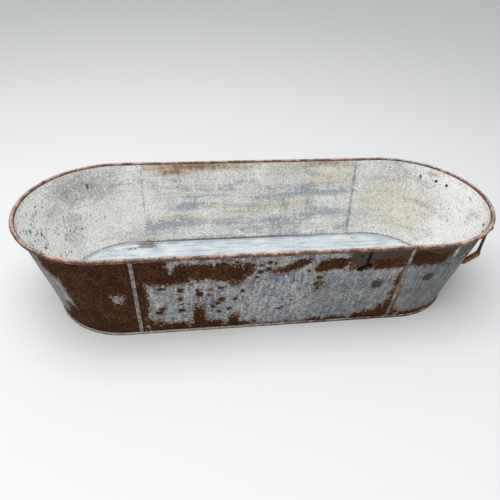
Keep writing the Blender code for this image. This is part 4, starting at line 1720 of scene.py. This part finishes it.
@dataclass
class Base:
    """Floor sheet and the chime that locks it to the walls."""

    sizes: TroughSizes
    flat: Unrolled
    finishes: Finishes
    arc_steps: int = 128          # even, round a whole circle
    side_steps: int = 150
    chime_steps: int = 120
    lead_steps: int = 8           # chime steps from a seam to where the end starts to turn
    outer_leg: float = 0.003
    rounding: float = 0.0007
    lip_height: float = 0.010     # the floor's edge turns up this far against the wall
    # How far in from the floor's edge the cove below the lip runs, and its height there
    cove: tuple[tuple[float, float], ...] = (
        (0.0004, 0.004), (0.0016, 0.0012), (0.0045, 0.0001), (0.010, -0.0003))
    pan_inset: float = 0.016
    rings: int = 26
    dent_size: float = 0.16
    dent_depth: float = 0.0045
    ripple_size: float = 0.04
    ripple_depth: float = 0.0012
    held_inset: float = 0.02      # the floor is stiff this close to its edge
    held_fade: float = 0.05
    buckle_x: float = -0.445      # where the lip has buckled up behind
    buckle_width: float = 0.03
    buckle_height: float = 0.007

    def build(self) -> None:
        """Make the floor and the four lengths of chime."""
        self.floor()
        s = self.sizes
        reach = s.seam_x - s.gap / 2
        front = self.chime_profile("front_chime", -reach)
        with front:
            front.pick_all()
            front.run(2 * reach, self.chime_steps)
            self.close_ends(front, [lambda p, side=side: abs(p.x - side * reach) < CLOSE
                                    for side in (1, -1)])
        back = Workpiece.copy_of(front.obj, "back_chime", HALF_TURN)
        start = s.seam_x + s.gap / 2
        right = self.chime_profile("right_end_chime", start)
        with right:
            right.pick_all()
            right.run(s.base_half - start, self.lead_steps)
            right.spin(s.base_half, self.chime_steps)
            right.run(start - s.base_half, self.lead_steps)
            self.close_ends(right, [lambda p, side=side: abs(p.x - start) < CLOSE and side * p.y > 0
                                    for side in (1, -1)])
        left = Workpiece.copy_of(right.obj, "left_end_chime", HALF_TURN)
        for piece, node in ((front, "chime_front"), (back, "chime_back"),
                            (right, "chime_right_end"), (left, "chime_left_end")):
            self.dress_chime(piece, node)

    def chime_profile(self, name: str, x: float) -> Workpiece:
        """Closed outline of the folded chime, drawn at the front.

        Args:
            name: Name of the piece.
            x: Where it is drawn.

        Returns:
            The loop of edges, its corners rounded.
        """
        s = self.sizes
        inner = s.floor_radius - s.gap - s.sheet
        inner_top = s.floor_top - s.sheet - s.gap
        corners = [(s.base_radius, 0), (s.base_radius, s.chime_height),
                   (s.base_radius - self.outer_leg, s.chime_height),
                   (s.base_radius - self.outer_leg, s.sheet), (inner, s.sheet),
                   (inner, inner_top), (inner - s.sheet, inner_top), (inner - s.sheet, 0)]
        piece = Workpiece.traced(name, [Vector((x, -out, up)) for out, up in corners], closed=True)
        with piece:
            piece.pick_verts(lambda p: p.y < -s.base_radius + NEAR or p.z > s.chime_height - NEAR)
            bpy.ops.mesh.bevel(offset=self.rounding, segments=3, affect="VERTICES")
        return piece

    def close_ends(self, piece: Workpiece, ends: Sequence[Callable[[Vector], bool]]) -> None:
        """Fill the two end loops of a length of chime.

        Args:
            piece: The length of chime, in edit mode.
            ends: For each end, a test that its corners pass.
        """
        piece.tidy()
        for at_end in ends:
            piece.pick_edges(lambda a, b: at_end(a) and at_end(b))
            bpy.ops.mesh.edge_face_add()
        bpy.ops.mesh.select_all(action="SELECT")
        bpy.ops.mesh.normals_make_consistent(inside=False)

    def dress_chime(self, piece: Workpiece, node: str) -> None:
        """Paint where the chime is scraped.

        Args:
            piece: The length of chime.
            node: The frame's piece that it stands for.
        """
        where = self.flat.flat(vertex_places(piece.obj))
        bare = Wear(Layer.BARE, (Patch(-0.30, 0.004, 0.42, 0.02, 1.20, 0.05),
                                 Patch(0.35, 0.004, 0.40, 0.02, 0.75, 0.05),
                                 Patch(-0.95, 0.004, 0.40, 0.02, 0.75, 0.05),
                                 Patch(1.60, 0.004, 0.60, 0.02, 0.60, 0.05)))
        # Bare metal mostly on the upper half: painted highlight on the top that catches the light,
        # and rust with painted shade lower on the outer face.
        edge = np.clip((where[:, 1] / self.sizes.chime_height - 0.45) / 0.35, 0, 1)
        put_layer(piece.obj, Layer.BARE, bare.amount(where) * (0.35 + 0.65 * edge))
        piece.coat(self.finishes.chime)
        piece.done(node, Body.TROUGH, Slot.CHIME)

    def ring(self, name: str, radius: float, height: float) -> Workpiece:
        """Outline of the floor: a circle whose halves are drawn apart.

        Args:
            name: Name of the piece.
            radius: Radius of its ends.
            height: Its height above the ground.

        Returns:
            The loop of edges.
        """
        s = self.sizes
        step = 2 * math.pi / self.arc_steps
        piece = Workpiece.start(name, bpy.ops.mesh.primitive_circle_add, vertices=self.arc_steps,
                                radius=radius, fill_type="NOTHING", location=(0, 0, height),
                                rotation=(0, 0, step / 2))
        with piece:
            for side in (1, -1):
                piece.pick_verts(lambda p: side * p.x > 0)
                piece.move(x=side * s.base_half)
            piece.pick_edges(lambda a, b: abs(a.x - b.x) > s.base_half)
            bpy.ops.mesh.subdivide(number_cuts=self.side_steps - 1)
        return piece

    def shrink(self, piece: Workpiece, ratio: float) -> None:
        """Draw the selected ring inwards, its straight length kept.

        Args:
            piece: The sheet, in edit mode.
            ratio: New radius over the old one.
        """
        half = self.sizes.base_half
        ring = piece.picked()
        piece.scale(y=ratio)
        for side in (1, -1):
            piece.pick_again(ring, lambda p: side * p.x > half - NEAR)
            piece.scale(x=ratio, about=(side * half, 0, 0))
        piece.pick_again(ring)

    def floor(self) -> None:
        """Make the floor sheet: a lip up the wall, a cove, a shallow pan and a hoop below."""
        s = self.sizes
        lip_top = s.floor_top + self.lip_height
        lip_radius = s.radius(lip_top) - s.sheet - 2 * s.gap
        section = [(s.floor_radius - inset, s.floor_top + rise) for inset, rise in self.cove]
        pan = s.floor_radius - self.pan_inset
        section += [(pan * (1 - i / self.rings), s.floor_top) for i in range(self.rings)]
        piece = self.ring("floor_sheet", lip_radius, lip_top)
        with piece:
            piece.pick_all()
            radius, height = lip_radius, lip_top
            for next_radius, next_height in section:
                piece.extrude(z=next_height - height)
                self.shrink(piece, next_radius / radius)
                radius, height = next_radius, next_height
            piece.extrude()
            ring = piece.picked()
            piece.scale(y=0.0)
            for side in (1, -1):
                piece.pick_again(ring, lambda p: side * p.x > s.base_half - NEAR)
                piece.scale(x=0.0, about=(side * s.base_half, 0, 0))
            piece.tidy()
            piece.turn_over(lambda c, n: abs(c.y) < s.floor_radius / 4 and n.z < 0)
        self.dress_floor(piece, lip_top)

    def dress_floor(self, piece: Workpiece, lip_top: float) -> None:
        """Dent the floor, thicken it, join its hoop to it and paint it.

        Args:
            piece: The sheet without thickness.
            lip_top: Height of its edge.
        """
        s = self.sizes
        places = vertex_places(piece.obj)
        reach = np.hypot(np.clip(np.abs(places[:, 0]) - s.base_half, 0, None), places[:, 1])
        free = np.clip((s.floor_radius - self.held_inset - reach) / self.held_fade, 0, 1)
        piece.weigh("free", free)
        piece.roughen(self.dent_size, self.dent_depth, "free", detail=1)
        piece.roughen(self.ripple_size, self.ripple_depth, "free")
        places = vertex_places(piece.obj)
        near_lip = np.clip((places[:, 2] - s.floor_top) / (lip_top - s.floor_top), 0, 1)
        bulge = np.exp(-((places[:, 0] - self.buckle_x) / self.buckle_width) ** 2)
        piece.push(bulge * (places[:, 1] > 0) * near_lip, self.buckle_height)
        piece.modify("SOLIDIFY", thickness=s.sheet, offset=-1.0, use_even_offset=True)
        hoop = self.ring("floor_hoop", s.floor_radius, s.floor_top - s.sheet)
        with hoop:
            hoop.pick_all()
            hoop.extrude(z=s.wall_foot - s.floor_top + s.sheet)
            hoop.tidy()
        hoop.modify("SOLIDIFY", thickness=s.sheet, offset=-1.0, use_even_offset=True)
        piece.join(hoop)
        places = vertex_places(piece.obj)
        spots = Wear(Layer.RUST, (
            Patch(-0.40, 0.215, 0.035, 0.012, 0.9), Patch(-0.46, 0.205, 0.03, 0.010, 0.7),
            Patch(-0.52, 0.190, 0.04, 0.010, 0.5), Patch(0.42, 0.215, 0.03, 0.008, 0.5)))
        put_layer(piece.obj, Layer.RUST, spots.amount(places[:, :2]))
        piece.coat(self.finishes.floor)
        piece.done("bottom_plate", Body.TROUGH, Slot.FLOOR_SHEET)


@dataclass
class Handles:
    """Drop bail at the right-hand end, the lugs that it hangs in, and the lugs' rivets."""

    sizes: TroughSizes
    finishes: Finishes
    grain: float = 0.0006         # size of the mesh that a lug's edges are rounded in
    forge_size: float = 0.007
    forge_depth: float = 0.0006
    head_base: float = 0.0036     # height of a rivet's head above the wall's outer face
    tail_gap: float = 0.0007
    rivet_steps: int = 20
    head_radius: float = 0.006
    shank_radius: float = 0.003
    head_height: float = 0.0028
    tail_radius: float = 0.005
    tail_height: float = 0.0014
    grip_top: float = 0.50        # share of the bail's height at which the grip's rust ends
    grip_fade: float = 0.10

    def build(self) -> None:
        """Make the lugs, the rivets and the bail."""
        rivet = self.rivet_pattern()
        for side in ("front", "back"):
            self.lug(f"right_{side}")
            for number in (1, 2):
                self.rivet(rivet, f"right_{side}_{number}")
        bpy.data.objects.remove(rivet.obj, do_unlink=True)
        self.bail()

    def merged_copy(self, node: str, name: str) -> Workpiece:
        """Copy a piece of the frame and merge its loose triangles.

        Args:
            node: The frame's piece.
            name: Name of the copy.

        Returns:
            The copy.
        """
        piece = Workpiece.copy_of(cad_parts[node], name)
        with piece:
            bpy.ops.mesh.select_mode(type="VERT")
            piece.pick_all()
            bpy.ops.mesh.remove_doubles(threshold=NEAR)
            bpy.ops.mesh.tris_convert_to_quads(face_threshold=0.1, shape_threshold=0.7)
        return piece

    def lug(self, place: str) -> None:
        """Round a lug's edges, smoothing it to a forged look.

        Args:
            place: Which lug, as in the frame's names.
        """
        piece = self.merged_copy(f"lug_{place}", f"{place}_lug")
        piece.modify("REMESH", mode="VOXEL", voxel_size=self.grain)
        piece.modify("SMOOTH", factor=0.5, iterations=4)
        piece.coat(self.finishes.lug)
        piece.done(f"lug_{place}", Body.TROUGH, Slot.LUG)

    def rivet_pattern(self) -> Workpiece:
        """One rivet at the origin, turned from its half outline.

        Returns:
            The rivet.
        """
        tail_base = -(self.sizes.sheet + self.tail_gap)
        dome = [(self.head_radius * math.cos(a), self.head_base + self.head_height * math.sin(a))
                for a in (math.radians(d) for d in (0, 18, 36, 54, 72))]
        outline = [(0, tail_base - self.tail_height),
                   (self.tail_radius * 0.8, tail_base - self.tail_height),
                   (self.tail_radius, tail_base - self.tail_height * 0.6),
                   (self.tail_radius, tail_base), (self.shank_radius, tail_base),
                   (self.shank_radius, self.head_base), *dome,
                   (0, self.head_base + self.head_height)]
        piece = Workpiece.traced("rivet_pattern", [Vector((r, 0, h)) for r, h in outline])
        with piece:
            piece.pick_all()
            bpy.ops.mesh.spin(steps=self.rivet_steps, angle=2 * math.pi, center=(0, 0, 0),
                              axis=(0, 0, 1))
            piece.tidy()
        return piece

    def rivet(self, pattern: Workpiece, place: str) -> None:
        """Copy the rivet to its hole, its head outwards.

        Args:
            pattern: The rivet at the origin.
            place: Which rivet, as in the frame's names.
        """
        s = self.sizes
        low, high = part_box(f"rivet_{place}")
        middle = (low + high) / 2
        bearing = math.atan2(middle.y, middle.x - s.half(middle.z))
        rise = s.wall_top - s.foot_top
        spread = s.top_radius - s.foot_radius + (s.rim_half - s.base_half) * math.cos(bearing)
        normal = Vector((math.cos(bearing), math.sin(bearing), -spread / rise)).normalized()
        turn = normal.to_track_quat("Z", "Y").to_matrix().to_4x4()
        piece = Workpiece.copy_of(pattern.obj, f"{place}_rivet", turn)
        places = vertex_places(piece.obj)
        shift = middle - Vector((places.min(axis=0) + places.max(axis=0)) / 2)
        piece.obj.location = shift
        piece.settle()
        piece.coat(self.finishes.rivet)
        piece.done(f"rivet_{place}", Body.TROUGH, Slot.RIVET)

    def bail(self) -> None:
        """Smooth the bail and pit it with rust; its grip is painted apart from its legs."""
        piece = self.merged_copy("bail_right", "right_bail")
        piece.modify("SUBSURF", levels=2)
        piece.roughen(self.forge_size, self.forge_depth)
        low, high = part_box("bail_right")
        places = vertex_places(piece.obj)
        height = (places[:, 2] - low.z) / (high.z - low.z)
        put_layer(piece.obj, Layer.TOP, np.clip((self.grip_top - height) / self.grip_fade, 0, 1))
        piece.coat(self.finishes.bail)
        piece.done("bail_right", Body.RIGHT_BAIL, Slot.BAIL)


@dataclass(frozen=True)
class Studio:
    """Camera, pale floor and soft light."""

    camera_at: tuple[float, float, float] = (-0.2371, -1.2431, 1.0850)
    heading: float = 9.27         # degrees to the right of straight ahead
    tilt_down: float = 37.07      # degrees below the horizon
    roll: float = 2.985
    lens: float = 33.12           # for a 36 mm sensor
    floor_size: float = 14.0
    floor_tint: Colour = tint(226, 226, 224)
    sky: Colour = (0.93, 0.96, 1.0)
    sky_strength: float = 0.62
    lamp_power: float = 120.0
    lamp_size: float = 4.0
    lamp_at: tuple[float, float, float] = (-0.8, -0.6, 3.6)

    def build(self) -> None:
        """Set up the whole studio."""
        self.camera()
        self.floor()
        self.light()

    def camera(self) -> None:
        """Stand the camera in front of the trough, looking down into it."""
        data = bpy.data.cameras.new("camera")
        data.lens = self.lens
        data.sensor_width = 36.0
        camera = bpy.data.objects.new("camera", data)
        turn = (Matrix.Rotation(-math.radians(self.heading), 3, "Z")
                @ Matrix.Rotation(math.radians(90 - self.tilt_down), 3, "X")
                @ Matrix.Rotation(math.radians(self.roll), 3, "Z"))
        camera.rotation_euler = turn.to_euler()
        camera.location = self.camera_at
        bpy.context.scene.collection.objects.link(camera)
        bpy.context.scene.camera = camera

    def floor(self) -> None:
        """Lay the pale floor."""
        bpy.ops.object.select_all(action="DESELECT")
        bpy.ops.mesh.primitive_plane_add(size=self.floor_size)
        ground = bpy.context.object
        ground.name = "studio_floor"
        net = Net("studio_floor")
        ground.data.materials.append(net.finish(self.floor_tint, 0.9, 0.0))

    def light(self) -> None:
        """Hang one wide soft lamp under a pale sky."""
        world = bpy.data.worlds.new("sky")
        world.use_nodes = True
        background = world.node_tree.nodes["Background"]
        background.inputs["Color"].default_value = (*self.sky, 1.0)
        background.inputs["Strength"].default_value = self.sky_strength
        bpy.context.scene.world = world
        data = bpy.data.lights.new("lamp", "AREA")
        data.shape = "DISK"
        data.size = self.lamp_size
        data.energy = self.lamp_power
        lamp = bpy.data.objects.new("lamp", data)
        lamp.location = self.lamp_at
        lamp.rotation_euler = (-Vector(self.lamp_at)).to_track_quat("-Z", "Y").to_euler()
        bpy.context.scene.collection.objects.link(lamp)
        bpy.context.scene.view_settings.view_transform = "Standard"


def main() -> None:
    """Build the studio and every sub-assembly in order."""
    logging.basicConfig(level=logging.INFO, format="%(message)s")
    Studio().build()
    sizes = TroughSizes.measured()
    flat = Unrolled(sizes)
    finishes = Finishes.made()
    wear = WallWear(flat.back_middle, flat.back_middle - flat.straight, flat.bend, sizes.seam_x)
    Walls(sizes, flat, wear, finishes).build()
    Rim(sizes, flat, finishes).build()
    Base(sizes, flat, finishes).build()
    Handles(sizes, finishes).build()


if __name__ == "__main__":
    main()
